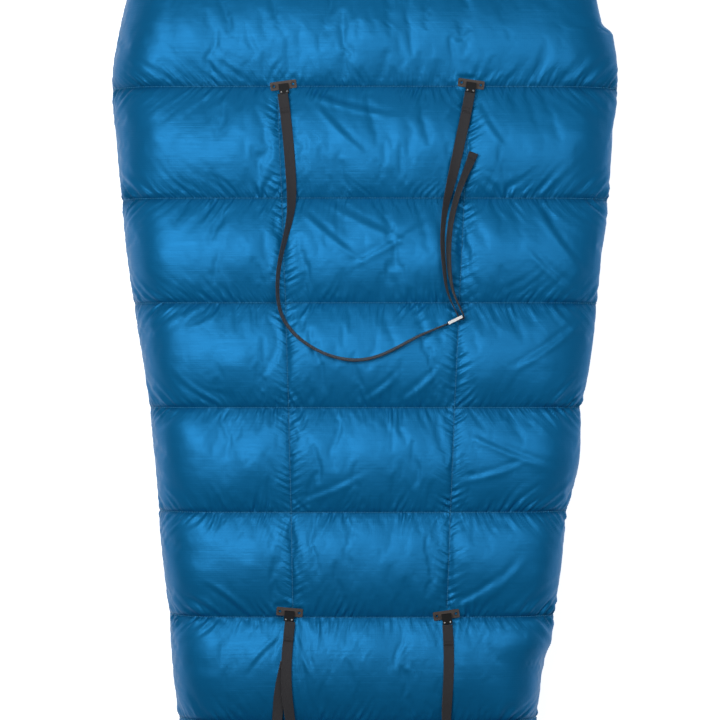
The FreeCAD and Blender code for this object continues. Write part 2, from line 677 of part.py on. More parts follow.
def make_hardware():
    plates, hooks = [], []
    seat = total_height - seam_depth
    half_l, half_w = plate_length / 2.0, plate_width / 2.0
    for seam, x, from_seam, turn in anchor_places.values():
        y = seams[seam] + from_seam
        plate = box(-half_l, half_l, -half_w, half_w, 0, plate_thickness)
        corners = [e for e in plate.Edges if abs(e.BoundBox.ZLength - plate_thickness) < 1e-3]
        plate = plate.makeFillet(1.6, corners)
        slot = box(-plate_slot_length / 2, plate_slot_length / 2,
                   -plate_slot_width / 2, plate_slot_width / 2, -1, plate_thickness + 1)
        plate = plate.cut(slot)
        for side in (-1, 1):
            place = V(side * (half_l - plate_hole_inset), 0, -1)
            plate = plate.cut(Part.makeCylinder(plate_hole_radius, plate_thickness + 2, place))
        lip = plate_slot_width / 2.0 - hook_fit
        top = hook_top_z - seat
        hook = box(-hook_width / 2 + 1, hook_width / 2 - 1, -lip, lip, 0.3, top)
        deck = box(-hook_width / 2, hook_width / 2, -hook_length, lip, plate_thickness + hook_fit, top)
        hook = hook.fuse(deck).removeSplitter()
        for shape, group in ((plate, plates), (hook, hooks)):
            shape.rotate(V(0, 0, 0), V(0, 0, 1), turn)
            shape.translate(V(x, y, seat))
            group.append(shape)
    save("anchor_plates", Part.makeCompound(plates))
    save("strap_hooks", Part.makeCompound(hooks))
    for name, (seam, x, from_seam, turn) in buckle_places.items():
        y = seams[seam] + from_seam
        frame = buckle()
        frame.rotate(V(0, 0, 0), V(0, 0, 1), turn)
        frame.translate(V(x, y, strap_z))
        save(name, frame)


def make_hang_loops():
    loops = []
    half = hang_loop_span / 2.0
    for side in (-1, 1):
        outer = box(-half, half, -hang_loop_reach, 0, 0, hang_loop_width)
        corners = [e for e in outer.Edges
                   if abs(e.BoundBox.ZLength - hang_loop_width) < 1e-3 and e.BoundBox.YMax < -1]
        outer = outer.makeFillet(hang_loop_reach - 2.0, corners)
        t = hang_loop_thickness
        inner = box(-half + t, half - t, -hang_loop_reach + t, 1, -1, hang_loop_width + 1)
        corners = [e for e in inner.Edges
                   if abs(e.BoundBox.ZLength - hang_loop_width - 2) < 1e-3 and e.BoundBox.YMax < 0]
        inner = inner.makeFillet(hang_loop_reach - 2.0 - t, corners)
        loop = outer.cut(inner)
        loop.translate(V(side * hang_loop_x, foot_end_y, hang_loop_z))
        loops.append(loop)
    save("hang_loops", Part.makeCompound(loops))


def main():
    os.makedirs("parts", exist_ok=True)
    make_baffles()
    make_sides()
    make_hood()
    make_collar()
    make_cord_lock(make_drawcord())
    make_zip()
    make_closure_tab()
    make_straps()
    make_hardware()
    make_hang_loops()


main()
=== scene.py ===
"""Looks of a quilted mummy sleeping bag that lies on its front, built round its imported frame."""

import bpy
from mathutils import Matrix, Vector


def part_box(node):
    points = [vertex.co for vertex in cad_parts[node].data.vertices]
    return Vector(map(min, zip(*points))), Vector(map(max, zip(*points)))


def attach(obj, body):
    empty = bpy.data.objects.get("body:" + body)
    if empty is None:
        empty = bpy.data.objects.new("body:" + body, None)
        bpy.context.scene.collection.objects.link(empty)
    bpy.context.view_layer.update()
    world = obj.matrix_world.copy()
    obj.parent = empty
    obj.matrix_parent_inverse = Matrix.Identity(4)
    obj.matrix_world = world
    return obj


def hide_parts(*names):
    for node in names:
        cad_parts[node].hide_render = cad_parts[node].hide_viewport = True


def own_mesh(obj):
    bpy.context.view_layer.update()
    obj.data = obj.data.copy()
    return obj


bl_info = {
    "name": "Mummy sleeping bag",
    "version": (1, 0, 0),
    "blender": (4, 5, 0),
    "location": "View3D > Sidebar > Sleeping bag",
    "description": "Sews the quilted shells, zip, straps and hardware of a mummy sleeping bag",
    "category": "Add Mesh",
}

import bpy
import math
import numpy as np
from bpy.props import FloatProperty, FloatVectorProperty, IntProperty, PointerProperty
from mathutils import Vector
from mathutils.bvhtree import BVHTree

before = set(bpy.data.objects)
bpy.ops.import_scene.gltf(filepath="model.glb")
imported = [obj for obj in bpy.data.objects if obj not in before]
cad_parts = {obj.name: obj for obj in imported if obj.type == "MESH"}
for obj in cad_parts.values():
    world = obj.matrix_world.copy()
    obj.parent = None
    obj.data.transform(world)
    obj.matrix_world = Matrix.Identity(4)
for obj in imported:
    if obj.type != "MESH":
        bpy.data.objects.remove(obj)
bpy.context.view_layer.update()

ROUND = 0.5523              # how far a curve's control point stands off to make a quarter circle
PLATE_HALF = (0.0205, 0.0085)       # half the length and width that an anchor plate presses flat
PLATE_SINK = 0.0088         # how far below the bag's top the plates' cloth lies
LENS, SENSOR = 120.0, 36.0  # the camera's, in millimetres
VIEW_WIDTH = 1.044          # metres across the picture
EYE_OVER = 0.14             # height at which that width is seen
BODY_BAFFLES = 10
UPPER_SEAM = 9
LOWER_SEAM = 4


# ---- places read from the frame --------------------------------------------------------------
def node_box(name):
    low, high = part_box(name)
    return np.array(low), np.array(high)


def seam_places():
    """The y of each seam across the body and the half-width there, from foot to neck."""
    boxes = [node_box("back_baffle_%02d" % (i + 1)) for i in range(BODY_BAFFLES)]
    places = [boxes[0][0][1]] + [high[1] for _, high in boxes]
    widths = [node_box("footbox_back_panel")[1][0]] + [high[0] for _, high in boxes]
    widths[-1] = node_box("hood_back_panel")[1][0]
    return np.array(places), np.array(widths)


SEAMS, SEAM_WIDTHS = seam_places()
FOOT_END = node_box("footbox_back_panel")[0][1]
FOOT_WIDTH = 0.185
HOOD_END = node_box("hood_back_panel")[1][1]
TANGENT_X = node_box("hood_crown")[1][0]
TANGENT_Y = node_box("hood_left_panel")[1][1]
HOOD_CENTRE = (HOOD_END ** 2 - TANGENT_Y ** 2 - TANGENT_X ** 2) / (2.0 * (HOOD_END - TANGENT_Y))
HOOD_RADIUS = HOOD_END - HOOD_CENTRE
CHIN_END = node_box("chin_panel")[1][1]
TOP = node_box("back_baffle_05")[1][2]
MIDDLE = TOP / 2.0
HOOD_SEAMS = [SEAMS[-1] + 0.100, SEAMS[-1] + 0.200]
ALL_SEAMS = list(SEAMS) + HOOD_SEAMS
ZIP_LOW, ZIP_HIGH = node_box("zip_tape_back")
TAB_LOW, TAB_HIGH = node_box("closure_tab")


def zip_line(y):
    """The x of the zip's tapes at y."""
    return ZIP_LOW[0] + (ZIP_HIGH[0] - ZIP_LOW[0]) * (y - ZIP_LOW[1]) / (ZIP_HIGH[1] - ZIP_LOW[1])


def tab_line(y):
    """The x of the side that the closure tab lies against."""
    slope = (TAB_HIGH[0] - TAB_LOW[0] - 0.003) / (TAB_HIGH[1] - TAB_LOW[1])
    return TAB_HIGH[0] - 0.0032 - slope * (y - TAB_LOW[1])


def smooth_step(x, low, high):
    t = np.clip((np.asarray(x, float) - low) / (high - low), 0.0, 1.0)
    return t * t * (3.0 - 2.0 * t)


def plateau(x, rise, full, fall, end):
    """0 up to rise, 1 from full to fall and 0 again from end on, with smooth slopes between."""
    return smooth_step(x, rise, full) * (1.0 - smooth_step(x, fall, end))


# ---- settings --------------------------------------------------------------------------------
class BagSizes(bpy.types.PropertyGroup):
    cell: FloatProperty(name="Cloth cell", description="Size of one cell of the simulated cloth",
                        default=0.0056, unit="LENGTH")
    growth: FloatProperty(name="Fullness", description="How much longer the cloth is than its seams",
                          default=0.0048, subtype="FACTOR")
    pressure: FloatProperty(name="Loft", description="Pressure of the fill on the cloth", default=5.0)
    frames: IntProperty(name="Frames", description="Steps of the cloth simulation", default=18)
    seam_depth: FloatProperty(name="Seam depth", description="Depth of the seams below the frame's crest",
                              default=0.0150, unit="LENGTH")
    bulge: FloatProperty(name="Bulge", description="Height of a baffle above its seams",
                         default=0.0145, unit="LENGTH")
    side_round: FloatProperty(name="Side round", description="Radius of the bag's rounded sides",
                              default=0.075, unit="LENGTH")
    pucker: FloatProperty(name="Pucker", description="Height of the gathers beside a seam",
                          default=0.0021, unit="LENGTH")
    strap_width: FloatProperty(name="Strap width", description="Width of the webbing",
                               default=0.015, unit="LENGTH")
    strap_thickness: FloatProperty(name="Strap thickness", description="Thickness of the webbing",
                                   default=0.0015, unit="LENGTH")
    tooth_pitch: FloatProperty(name="Tooth pitch", description="From one turn of the zip's coil to the next",
                               default=0.0017, unit="LENGTH")


class BagColours(bpy.types.PropertyGroup):
    shell: FloatVectorProperty(name="Shell", description="Colour of the outer fabric", subtype="COLOR",
                               default=(0.001, 0.148, 0.362))
    thread: FloatVectorProperty(name="Thread", description="Colour of the sewing thread", subtype="COLOR",
                                default=(0.03, 0.24, 0.46))
    liner: FloatVectorProperty(name="Liner", description="Colour of the inner fabric", subtype="COLOR",
                               default=(0.02, 0.035, 0.06))
    webbing: FloatVectorProperty(name="Webbing", description="Colour of the straps", subtype="COLOR",
                                 default=(0.020, 0.019, 0.023))
    plate: FloatVectorProperty(name="Anchor", description="Colour of the anchor plates", subtype="COLOR",
                               default=(0.062, 0.047, 0.041))
    hook: FloatVectorProperty(name="Hook", description="Colour of the hooks and cord lock", subtype="COLOR",
                              default=(0.010, 0.010, 0.011))
    metal: FloatVectorProperty(name="Buckle", description="Colour of the buckles", subtype="COLOR",
                               default=(0.40, 0.40, 0.40))
    cord: FloatVectorProperty(name="Cord", description="Colour of the pull loops", subtype="COLOR",
                              default=(0.008, 0.075, 0.15))
    zip: FloatVectorProperty(name="Zip", description="Colour of the zip's tapes and coil", subtype="COLOR",
                             default=(0.012, 0.022, 0.038))


def sizes():
    return bpy.context.scene.bag_sizes


def colours():
    return bpy.context.scene.bag_colours


# ---- shader maths ----------------------------------------------------------------------------
class Value:
    """A node's socket; arithmetic on it adds Math nodes."""

    def __init__(self, build, socket):
        self.build = build
        self.socket = socket

    def _maths(self, operation, *inputs):
        return self.build.node("ShaderNodeMath", {"operation": operation}, *inputs)

    def __add__(self, other):
        return self._maths("ADD", self, other)

    __radd__ = __add__

    def __sub__(self, other):
        return self._maths("SUBTRACT", self, other)

    def __rsub__(self, other):
        return self._maths("SUBTRACT", other, self)

    def __mul__(self, other):
        return self._maths("MULTIPLY", self, other)

    __rmul__ = __mul__

    def sin(self):
        return self._maths("SINE", self)

    def abs(self):
        return self._maths("ABSOLUTE", self)

    def exp(self):
        return self._maths("EXPONENT", self)

    def above(self, level):
        return self._maths("GREATER_THAN", self, level)


class Finish:
    """Builds one node material."""

    def __init__(self, name):
        self.material = bpy.data.materials.new(name)
        self.material.use_nodes = True
        self.tree = self.material.node_tree
        self.shader = self.tree.nodes["Principled BSDF"]

    def node(self, kind, settings=None, *inputs, output=0, **named):
        """Adds a node: its settings first, then its sockets by order or by name."""
        made = self.tree.nodes.new(kind)
        for key, value in (settings or {}).items():
            setattr(made, key, value)
        for key, value in list(enumerate(inputs)) + list(named.items()):
            self.put(made.inputs[key if isinstance(key, int) else key.replace("_", " ")], value)
        return Value(self, made.outputs[output])

    def put(self, socket, value):
        if isinstance(value, Value):
            self.tree.links.new(value.socket, socket)
        else:
            socket.default_value = value

    def set(self, **values):
        for key, value in values.items():
            self.put(self.shader.inputs[key.replace("_", " ")], value)

    def mix(self, factor, a, b):
        made = self.node("ShaderNodeMix", {"data_type": "RGBA"}, factor, output=2)
        self.put(made.socket.node.inputs[6], a)
        self.put(made.socket.node.inputs[7], b)
        return made

    def place(self, kind="Object"):
        names = {"Object": 3, "UV": 2}
        return self.node("ShaderNodeTexCoord", output=names[kind])

    def noise(self, where, scale, detail=2.0):
        return self.node("ShaderNodeTexNoise", {}, Vector=where, Scale=scale, Detail=detail)

    def axes(self, where):
        apart = self.node("ShaderNodeSeparateXYZ", {}, where).socket.node
        return [Value(self, out) for out in apart.outputs]

    def vector(self, *parts):
        return self.node("ShaderNodeCombineXYZ", {}, *parts)

    def bump(self, height, strength=1.0):
        self.set(Normal=self.node("ShaderNodeBump", {}, Strength=strength, Distance=1.0, Height=height))


def tinted(colour, factor):
    return (*[min(1.0, c * factor) for c in colour], 1.0)


def shell_fabric():
    """Thin satin nylon: cross threads, faint creases, a little unevenness of tone, and painted shade
    darkening the cloth along its seam furrows.
    """
    make = Finish("shell_fabric")
    where = make.place()
    base = colours().shell
    tone = make.noise(where, 7.0, 3.0)
    x, y, z = make.axes(where)
    threads = (y * 2100.0).sin() * 0.5 + (x * 2100.0).sin() * 0.25
    stretched = make.node("ShaderNodeVectorMath", {"operation": "MULTIPLY"}, where, (14.0, 420.0, 60.0))
    slub = make.noise(stretched, 1.0)
    make.set(Roughness=0.42 + slub * 0.12)
    creases = make.noise(where, 60.0, 5.0)
    run, from_seam, _ = make.axes(make.place("UV"))
    slant = run - from_seam * run * 3.0
    gathers = make.noise(make.vector(slant * 170.0, from_seam * 30.0, y * 12.0), 1.0, 3.0) - 0.5
    folds = gathers * (from_seam * -75.0).exp() * 0.0040
    # Painted shade: a mask that is 1 in each seam's furrow and reaches wider towards the sides; it darkens
    # the base colour and also sinks the bump there.
    seam_groove_shade = (from_seam * (run.abs() * 1400.0 - 650.0)).exp()
    t = (y - SEAMS[LOWER_SEAM]) * (1.0 / (SEAMS[UPPER_SEAM] - SEAMS[LOWER_SEAM]))
    between = t.above(0.02) * (1.0 - t.above(0.98)) * z.above(MIDDLE)
    for line, seed in ((upright_line(-1, t), 3.0), (upright_line(1, t), 8.0)):
        aside = (x - line).abs()
        which_side = seed + (x - line).above(0.0)
        barbs = make.noise(make.vector(aside * 40.0, (y - aside * 0.6) * 190.0, which_side), 1.0, 2.0)
        folds = folds + (barbs - 0.5) * (aside * -95.0).exp() * between * 0.0034
        # the upright seams get the same painted shade in their furrows
        seam_groove_shade = seam_groove_shade + (aside * -700.0).exp() * between
    cloth = make.mix(tone, tinted(base, 0.9), tinted(base, 1.08))
    # Painted shade: the cloth's colour is mixed towards a fifth of the shell colour where the seam furrows
    # are.
    make.set(Base_Color=make.mix(seam_groove_shade * 0.38, cloth, tinted(base, 0.2)))
    make.bump(threads * 0.00003 + slub * 0.00028 + creases * 0.0008 + folds - seam_groove_shade * 0.0008, 0.6)
    make.shader.inputs["Specular IOR Level"].default_value = 0.18
    make.shader.inputs["Metallic"].default_value = 0.45
    make.shader.inputs["Sheen Weight"].default_value = 0.02
    make.shader.inputs["Sheen Roughness"].default_value = 0.45
    make.shader.inputs["Sheen Tint"].default_value = (0.75, 0.75, 1.0, 1.0)
    return make.material


def plain_finish(name, colour, roughness, metallic=0.0, grain=400.0, depth=0.0002, shine=0.5):
    """A solid colour with a fine grain and slightly uneven roughness."""
    make = Finish(name)
    where = make.place()
    grains = make.noise(where, grain, 3.0)
    make.set(Base_Color=make.mix(grains, tinted(colour, 0.85), tinted(colour, 1.15)),
             Roughness=roughness + grains * 0.12)
    make.shader.inputs["Metallic"].default_value = metallic
    make.shader.inputs["Specular IOR Level"].default_value = shine
    make.bump(grains * depth, 0.6)
    return make.material


def thread_finish():
    return plain_finish("thread", colours().thread, 0.6)


def liner_finish():
    return plain_finish("liner_fabric", colours().liner, 0.55, grain=90.0, depth=0.001)


def plate_finish():
    return plain_finish("anchor_plastic", colours().plate, 0.45, grain=500.0, shine=0.25)


def hook_finish():
    return plain_finish("hook_plastic", colours().hook, 0.5, grain=500.0, depth=0.0001, shine=0.12)


def metal_finish():
    return plain_finish("buckle_metal", colours().metal, 0.3, metallic=0.9, grain=900.0, depth=0.00008)


def dark_metal_finish():
    return plain_finish("dark_metal", (0.05, 0.053, 0.058), 0.3, metallic=0.9, grain=700.0, depth=0.0001)


def cord_finish():
    return plain_finish("pull_cord", colours().cord, 0.7, grain=1400.0, depth=0.0006)


def zip_finish():
    return plain_finish("zip_tape", colours().zip, 0.75, grain=1200.0, depth=0.0003)


def coil_finish():
    return plain_finish("zip_coil_plastic", colours().zip, 0.35, grain=600.0, depth=0.0001)


def webbing_finish():
    """Woven webbing: ribs across the band and two raised edges."""
    make = Finish("webbing")
    across, along, _ = make.axes(make.place("UV"))
    ribs = (along * 3900.0).sin() * (across * 2900.0).sin()
    fuzz = make.noise(make.place(), 900.0, 3.0)
    base = colours().webbing
    make.set(Base_Color=make.mix(ribs * 0.35 + fuzz * 0.65, tinted(base, 0.7), tinted(base, 1.5)),
             Roughness=0.62 + fuzz * 0.2)
    make.bump(ribs * 0.00018 + fuzz * 0.0004, 0.8)
    make.shader.inputs["Sheen Weight"].default_value = 0.15
    return make.material


MATERIALS = {}


def finish(maker):
    if maker not in MATERIALS:
        MATERIALS[maker] = maker()
    return MATERIALS[maker]


# ---- mesh helpers ----------------------------------------------------------------------------
def grid_faces(rows, columns, around=False):
    index = np.arange(rows * columns).reshape(rows, columns)
    if around:
        index = np.concatenate([index, index[:, :1]], 1)
    return np.stack([index[:-1, :-1], index[:-1, 1:], index[1:, 1:], index[1:, :-1]], -1).reshape(-1, 4)


def mesh_object(name, points, faces, material, smooth=True, uvs=None):
    mesh = bpy.data.meshes.new(name)
    mesh.from_pydata([tuple(p) for p in points], [], [tuple(int(i) for i in f) for f in faces])
    mesh.polygons.foreach_set("use_smooth", [smooth] * len(mesh.polygons))
    if uvs is not None:
        layer = mesh.uv_layers.new(name="band")
        corners = np.empty(len(mesh.loops), int)
        mesh.loops.foreach_get("vertex_index", corners)
        layer.data.foreach_set("uv", np.asarray(uvs, float)[corners].ravel())
    mesh.materials.append(material)
    mesh.update()
    made = bpy.data.objects.new(name, mesh)
    bpy.context.collection.objects.link(made)
    return made


def grid_object(name, grid, material, uvs=None):
    """A sheet whose points are given in rows."""
    return mesh_object(name, grid.reshape(-1, 3), grid_faces(*grid.shape[:2]), material, uvs=uvs)


def piece(obj, slot, *nodes, body="root"):
    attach(obj, body)
    if nodes:
        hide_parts(*nodes)
    return obj


def dress(name, material):
    """Gives a shown node of the frame a better finish."""
    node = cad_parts[name]
    node.data.materials.clear()
    node.data.materials.append(material)
    node.data.polygons.foreach_set("material_index", [0] * len(node.data.polygons))


def ripples(seed, shortest, longest, count=14):
    """A smooth random function of one length, about -1 to 1, with waves between the two lengths."""
    rng = np.random.default_rng(seed)
    waves = 2 * math.pi / rng.uniform(shortest, longest, count)
    phases = rng.uniform(0, 2 * math.pi, count)
    return lambda s: np.sin(np.asarray(s)[..., None] * waves + phases).sum(-1) / math.sqrt(count / 2) * 0.7


def ripples_2d(seed, shortest, longest, count=26):
    """A smooth random function of x and y, about -1 to 1."""
    rng = np.random.default_rng(seed)
    waves = 2 * math.pi / rng.uniform(shortest, longest, count)
    turns = rng.uniform(0, math.pi, count)
    phases = rng.uniform(0, 2 * math.pi, count)

    def value(x, y):
        along = x[..., None] * np.cos(turns) + y[..., None] * np.sin(turns)
        return np.sin(along * waves + phases).sum(-1) / math.sqrt(count / 2) * 0.7

    return value


# ---- outline and cross-section ---------------------------------------------------------------
def half_width(y):
    """Half-width of the bag's outline at y, before its corners at the foot."""
    if y < SEAMS[0]:
        return FOOT_WIDTH + (SEAM_WIDTHS[0] - FOOT_WIDTH) * (y - FOOT_END) / (SEAMS[0] - FOOT_END)
    if y <= SEAMS[-1]:
        spread = y + np.linspace(-0.035, 0.035, 9)
        return float(np.interp(spread, SEAMS, SEAM_WIDTHS).mean()) if y < SEAMS[-1] - 0.05 else \
            float(np.interp(y, SEAMS, SEAM_WIDTHS))
    if y <= TANGENT_Y:
        t = (y - SEAMS[-1]) / (TANGENT_Y - SEAMS[-1])
        return float(SEAM_WIDTHS[-1] + (TANGENT_X - SEAM_WIDTHS[-1]) * t)
    return math.sqrt(max(0.0, HOOD_RADIUS ** 2 - (y - HOOD_CENTRE) ** 2))


def baffle_place(y):
    """How far y is through its baffle, 0 at one seam and 1 at the next."""
    ends = [FOOT_END] + ALL_SEAMS + [HOOD_END]
    i = int(np.clip(np.searchsorted(ends, y) - 1, 0, len(ends) - 2))
    return (y - ends[i]) / (ends[i + 1] - ends[i])


def pillow(u):
    """Height of a baffle's arch, 0 at its seams and 1 at the crest, steep beside the seams."""
    return (1.0 - abs(2.0 * u - 1.0) ** 2.0) ** 0.72


def curve_points(p0, c1, c2, p3, count):
    t = np.linspace(0.0, 1.0, count)[:, None]
    return (1 - t) ** 3 * p0 + 3 * (1 - t) ** 2 * t * c1 + 3 * (1 - t) * t ** 2 * c2 + t ** 3 * p3


def end_turn(y):
    """0 in the body and up to 1 where the layer has turned down to the rim at the foot or crown."""
    foot, crown = (FOOT_END + 0.0705 - y) / 0.070, (y - (HOOD_END - 0.085)) / 0.080
    return float(np.clip(max(foot, crown), 0.0, 1.0))


def slack(y):
    """How far the soft bag spreads past its seams' outline, at the shoulders and the foot."""
    shoulders = plateau(y, 0.48, 0.62, 0.70, 0.80)
    foot = plateau(y, -0.95, -0.80, -0.40, -0.10)
    return float(0.0085 * shoulders + 0.0060 * foot)


def section(y, columns):
    """Cross-section of the back layer at y, from the left edge to the right, evenly spaced."""
    turn = end_turn(y)
    drop = math.sqrt(max(0.0, 1.0 - turn ** 2))
    arch = pillow(baffle_place(y))
    half = half_width(y) + 0.0015 + 0.0030 * arch * drop + slack(y)
    if y < 0:
        half -= 0.070 * (1.0 - drop)
    left_half = half - 0.0055 * float(plateau(y, -0.09, 0.03, 0.15, 0.27))
    half -= 0.0130 * float(plateau(y, -0.75, -0.45, -0.30, -0.21))
    half -= 0.0030 * float(plateau(y, -0.21, -0.12, -0.08, 0.0))
    round_x = min(sizes().side_round, half * 0.62)
    top = MIDDLE + (TOP - sizes().seam_depth - MIDDLE) * drop
    in_zip = float(plateau(y, ZIP_LOW[1] - 0.07, ZIP_LOW[1] - 0.03,
                           ZIP_HIGH[1] + 0.01, ZIP_HIGH[1] + 0.05))
    left_edge = np.array([-left_half, MIDDLE])
    left_top = np.array([-left_half + round_x, top])
    right_top = np.array([half - round_x, top])
    right_edge = np.array([half, MIDDLE])
    up, across = (top - MIDDLE) * ROUND, round_x * ROUND
    left = curve_points(left_edge, left_edge + [0, up], left_top - [across, 0], left_top, 40)
    tuck = np.array([float(zip_line(y)) + 0.004, MIDDLE + 0.0165])
    full = 0.040 - 0.018 * (1.0 - float(smooth_step(y, -0.25, 0.05)))
    full += (0.004 + 0.014 * (1.0 - arch)) * float(smooth_step(y, 0.12, 0.24))
    lip = np.array([half + full, MIDDLE + 0.010])
    edge = right_edge * (1 - in_zip) + tuck * in_zip
    control = (right_edge + [0, up]) * (1 - in_zip) + lip * in_zip
    at_tab = float(plateau(y, TAB_LOW[1] - 0.022, TAB_LOW[1] - 0.006,
                           TAB_HIGH[1] + 0.006, TAB_HIGH[1] + 0.022))
    seat = np.array([float(tab_line(y)) - 0.001, MIDDLE + 0.0195])
    edge = edge * (1 - at_tab) + seat * at_tab
    control = control * (1 - at_tab) + np.array([half + 0.016, MIDDLE + 0.042]) * at_tab
    lean = across * (1 + 0.25 * in_zip)
    right = curve_points(right_top, right_top + [lean, 0], control, edge, 40)
    flat_x = np.linspace(left_top[0], right_top[0], 200)[1:-1]
    crown = 0.004 * (1.0 - (flat_x / right_top[0]) ** 2) * drop
    flat = np.stack([flat_x, np.full_like(flat_x, top) + crown], 1)
    line = np.concatenate([left, flat, right])
    run = np.concatenate([[0.0], np.cumsum(np.linalg.norm(np.diff(line, axis=0), axis=1))])
    want = np.linspace(0.0, run[-1], columns)
    return np.stack([np.interp(want, run, line[:, 0]), np.interp(want, run, line[:, 1])], 1)


# ---- quilted layers --------------------------------------------------------------------------
ANCHORS = {                 # seam, x, y from the seam, and turn in degrees
    "upper_left": (UPPER_SEAM, -0.114, 0.001, 8.0),
    "upper_right": (UPPER_SEAM, 0.158, 0.003, -8.0),
    "lower_left": (LOWER_SEAM, -0.105, 0.008, -5.0),
    "lower_right": (LOWER_SEAM, 0.122, 0.004, 8.0),
}


def upright_line(side, t):
    """The x of an upright seam, t being 0 at the lower anchors and 1 at the upper.

    t may be a number or one of the shader's values."""
    if side < 0:
        return -0.100 - t * 0.012 - t * t * 0.011
    return 0.1225 + t * 0.026 + t * t * 0.008


def upright_seam(side, y):
    """The x of the sewn line that runs between the upper and lower anchors on one side."""
    return upright_line(side, (y - SEAMS[LOWER_SEAM]) / (SEAMS[UPPER_SEAM] - SEAMS[LOWER_SEAM]))


def layer_rows(cell, y_end):
    """The y of each row of the cloth, the rows that are seams, and rows that crowd where it turns down."""
    stops = [FOOT_END + 0.0005, FOOT_END + 0.070] + ALL_SEAMS + [HOOD_END - 0.005]
    stops = [s for s in stops if s < y_end - 0.02] + [y_end]
    ys, seam_rows = [stops[0]], []
    for a, b in zip(stops, stops[1:]):
        count = max(5, int(round((b - a) / cell)))
        steps = np.linspace(0.0, 1.0, count + 1)[1:]
        if a < FOOT_END + 0.01:
            steps = 1.0 - np.cos(np.linspace(0.0, math.pi / 2, count + 7)[1:])
        if b > HOOD_END - 0.02:
            steps = np.sin(np.linspace(0.0, 1.45, count + 5)[1:]) / math.sin(1.45)
        ys += list(a + (b - a) * steps)
        if any(abs(b - s) < 1e-6 for s in ALL_SEAMS):
            seam_rows.append(len(ys) - 1)
    return np.array(ys), seam_rows


def inflate(obj, pinned, frames):
    """Lets the cloth swell between its sewn lines and returns the new places of its points."""
    group = obj.vertex_groups.new(name="sewn")
    group.add([int(i) for i in pinned], 1.0, "REPLACE")
    cloth = obj.modifiers.new("Cloth", "CLOTH")
    rules = cloth.settings
    rules.quality = 4
    rules.mass = 0.12
    rules.air_damping = 3.0
    rules.tension_stiffness = 22.0
    rules.compression_stiffness = 22.0
    rules.shear_stiffness = 6.0
    rules.bending_stiffness = 0.3
    rules.tension_damping = 8.0
    rules.compression_damping = 8.0
    rules.shear_damping = 6.0
    rules.bending_damping = 0.6
    rules.vertex_group_mass = "sewn"
    rules.pin_stiffness = 1.0
    rules.shrink_min = -sizes().growth
    rules.use_pressure = True
    rules.uniform_pressure_force = sizes().pressure
    rules.effector_weights.gravity = 0.0
    cloth.point_cache.frame_start = 1
    cloth.point_cache.frame_end = frames
    scene = bpy.context.scene
    for step in range(1, frames + 1):
        scene.frame_set(step)
    ready = obj.evaluated_get(bpy.context.evaluated_depsgraph_get())
    out = np.empty(len(ready.data.vertices) * 3)
    ready.data.vertices.foreach_get("co", out)
    obj.modifiers.remove(cloth)
    scene.frame_set(1)
    return out.reshape(-1, 3)


def finer(grid):
    """The grid with a smoothly placed point between each two, both ways."""
    for axis in (0, 1):
        a = np.moveaxis(grid, axis, 0)
        before, after = np.concatenate([a[:1], a[:-2]]), np.concatenate([a[2:], a[-1:]])
        between = (9.0 * (a[:-1] + a[1:]) - before - after) / 16.0
        out = np.empty((2 * len(a) - 1, *a.shape[1:]))
        out[::2], out[1::2] = a, between
        grid = np.moveaxis(out, 0, axis)
    return grid


def grid_normals(grid):
    across = np.gradient(grid, axis=1)
    along = np.gradient(grid, axis=0)
    normal = np.cross(across, along)
    return normal / np.maximum(np.linalg.norm(normal, axis=-1, keepdims=True), 1e-9)


def seam_gathers(flat, run, seed, upright):
    """Height of the small gathers that the seams pull into the cloth beside them."""
    height = np.zeros(run.shape)
    y = flat[..., 1]
    size = sizes().pucker
    for i, seam in enumerate(ALL_SEAMS):
        for side in (-1, 1):
            away = (y - seam) * side
            near = (away >= 0) & (away < 0.07)
            d = np.where(near, away, 0.0)
            wave = ripples(seed + 10 * i + side, 0.0070, 0.016)
            lean = ripples(seed + 500 + i * 3 + side, 0.10, 0.3)
            strength = 0.55 + 0.45 * ripples(seed + 900 + i * 3 + side, 0.05, 0.2)(run)
            uneven = ripples(seed + 1300 + i * 3 + side, 0.02, 0.09)(run)
            reach = 0.010 + 0.010 * np.clip(0.5 + 0.5 * uneven, 0, 1)
            outer = smooth_step(abs(run), 0.12, 0.30)
            slanted = run - d * (0.9 * np.sign(run) * outer + 0.6 * lean(run) * (1.0 - 0.6 * outer))
            shape = (1.0 - np.exp(-d / 0.0025)) * np.exp(-(d / reach) ** 1.3)
            height += np.where(near, wave(slanted) * shape * strength, 0.0) * size * 1.15
            broad = ripples(seed + 1700 + i * 3 + side, 0.018, 0.042)
            long_shape = (1.0 - np.exp(-d / 0.007)) * np.exp(-(d / (0.020 + 0.010 * outer)) ** 1.6)
            broad_height = broad(slanted - 0.3 * np.sign(run) * d) * long_shape * (0.10 + 0.34 * outer)
            height += np.where(near, broad_height * (0.7 + 0.5 * strength), 0.0) * size * 1.3
    if upright:
        ends = plateau(y, SEAMS[LOWER_SEAM] + 0.01, SEAMS[LOWER_SEAM] + 0.03,
                       SEAMS[UPPER_SEAM] - 0.03, SEAMS[UPPER_SEAM] - 0.01)
        arch = np.array([pillow(min(1.0, max(0.0, baffle_place(t)))) for t in y[:, 0]])[:, None]
        for side in (-1, 1):
            away = flat[..., 0] - upright_seam(side, y)
            groove = 0.0042 * np.exp(-abs(away) / 0.0055) + 0.0022 * np.exp(-(away / 0.028) ** 2)
            height -= groove * ends * arch
            for way in (-1, 1):
                d = np.clip(away * way, 0.0, None)
                wave = ripples(seed + 3000 + side * 2 + way, 0.0080, 0.015)
                strength = 0.6 + 0.5 * ripples(seed + 3100 + side * 2 + way, 0.03, 0.12)(y)
                shape = (1.0 - np.exp(-d / 0.002)) * np.exp(-(d / 0.0110) ** 1.4)
                barb = wave(y - 0.55 * d) * shape * strength
                height += np.where(away * way > 0, barb, 0.0) * ends * size * 1.25
    return height


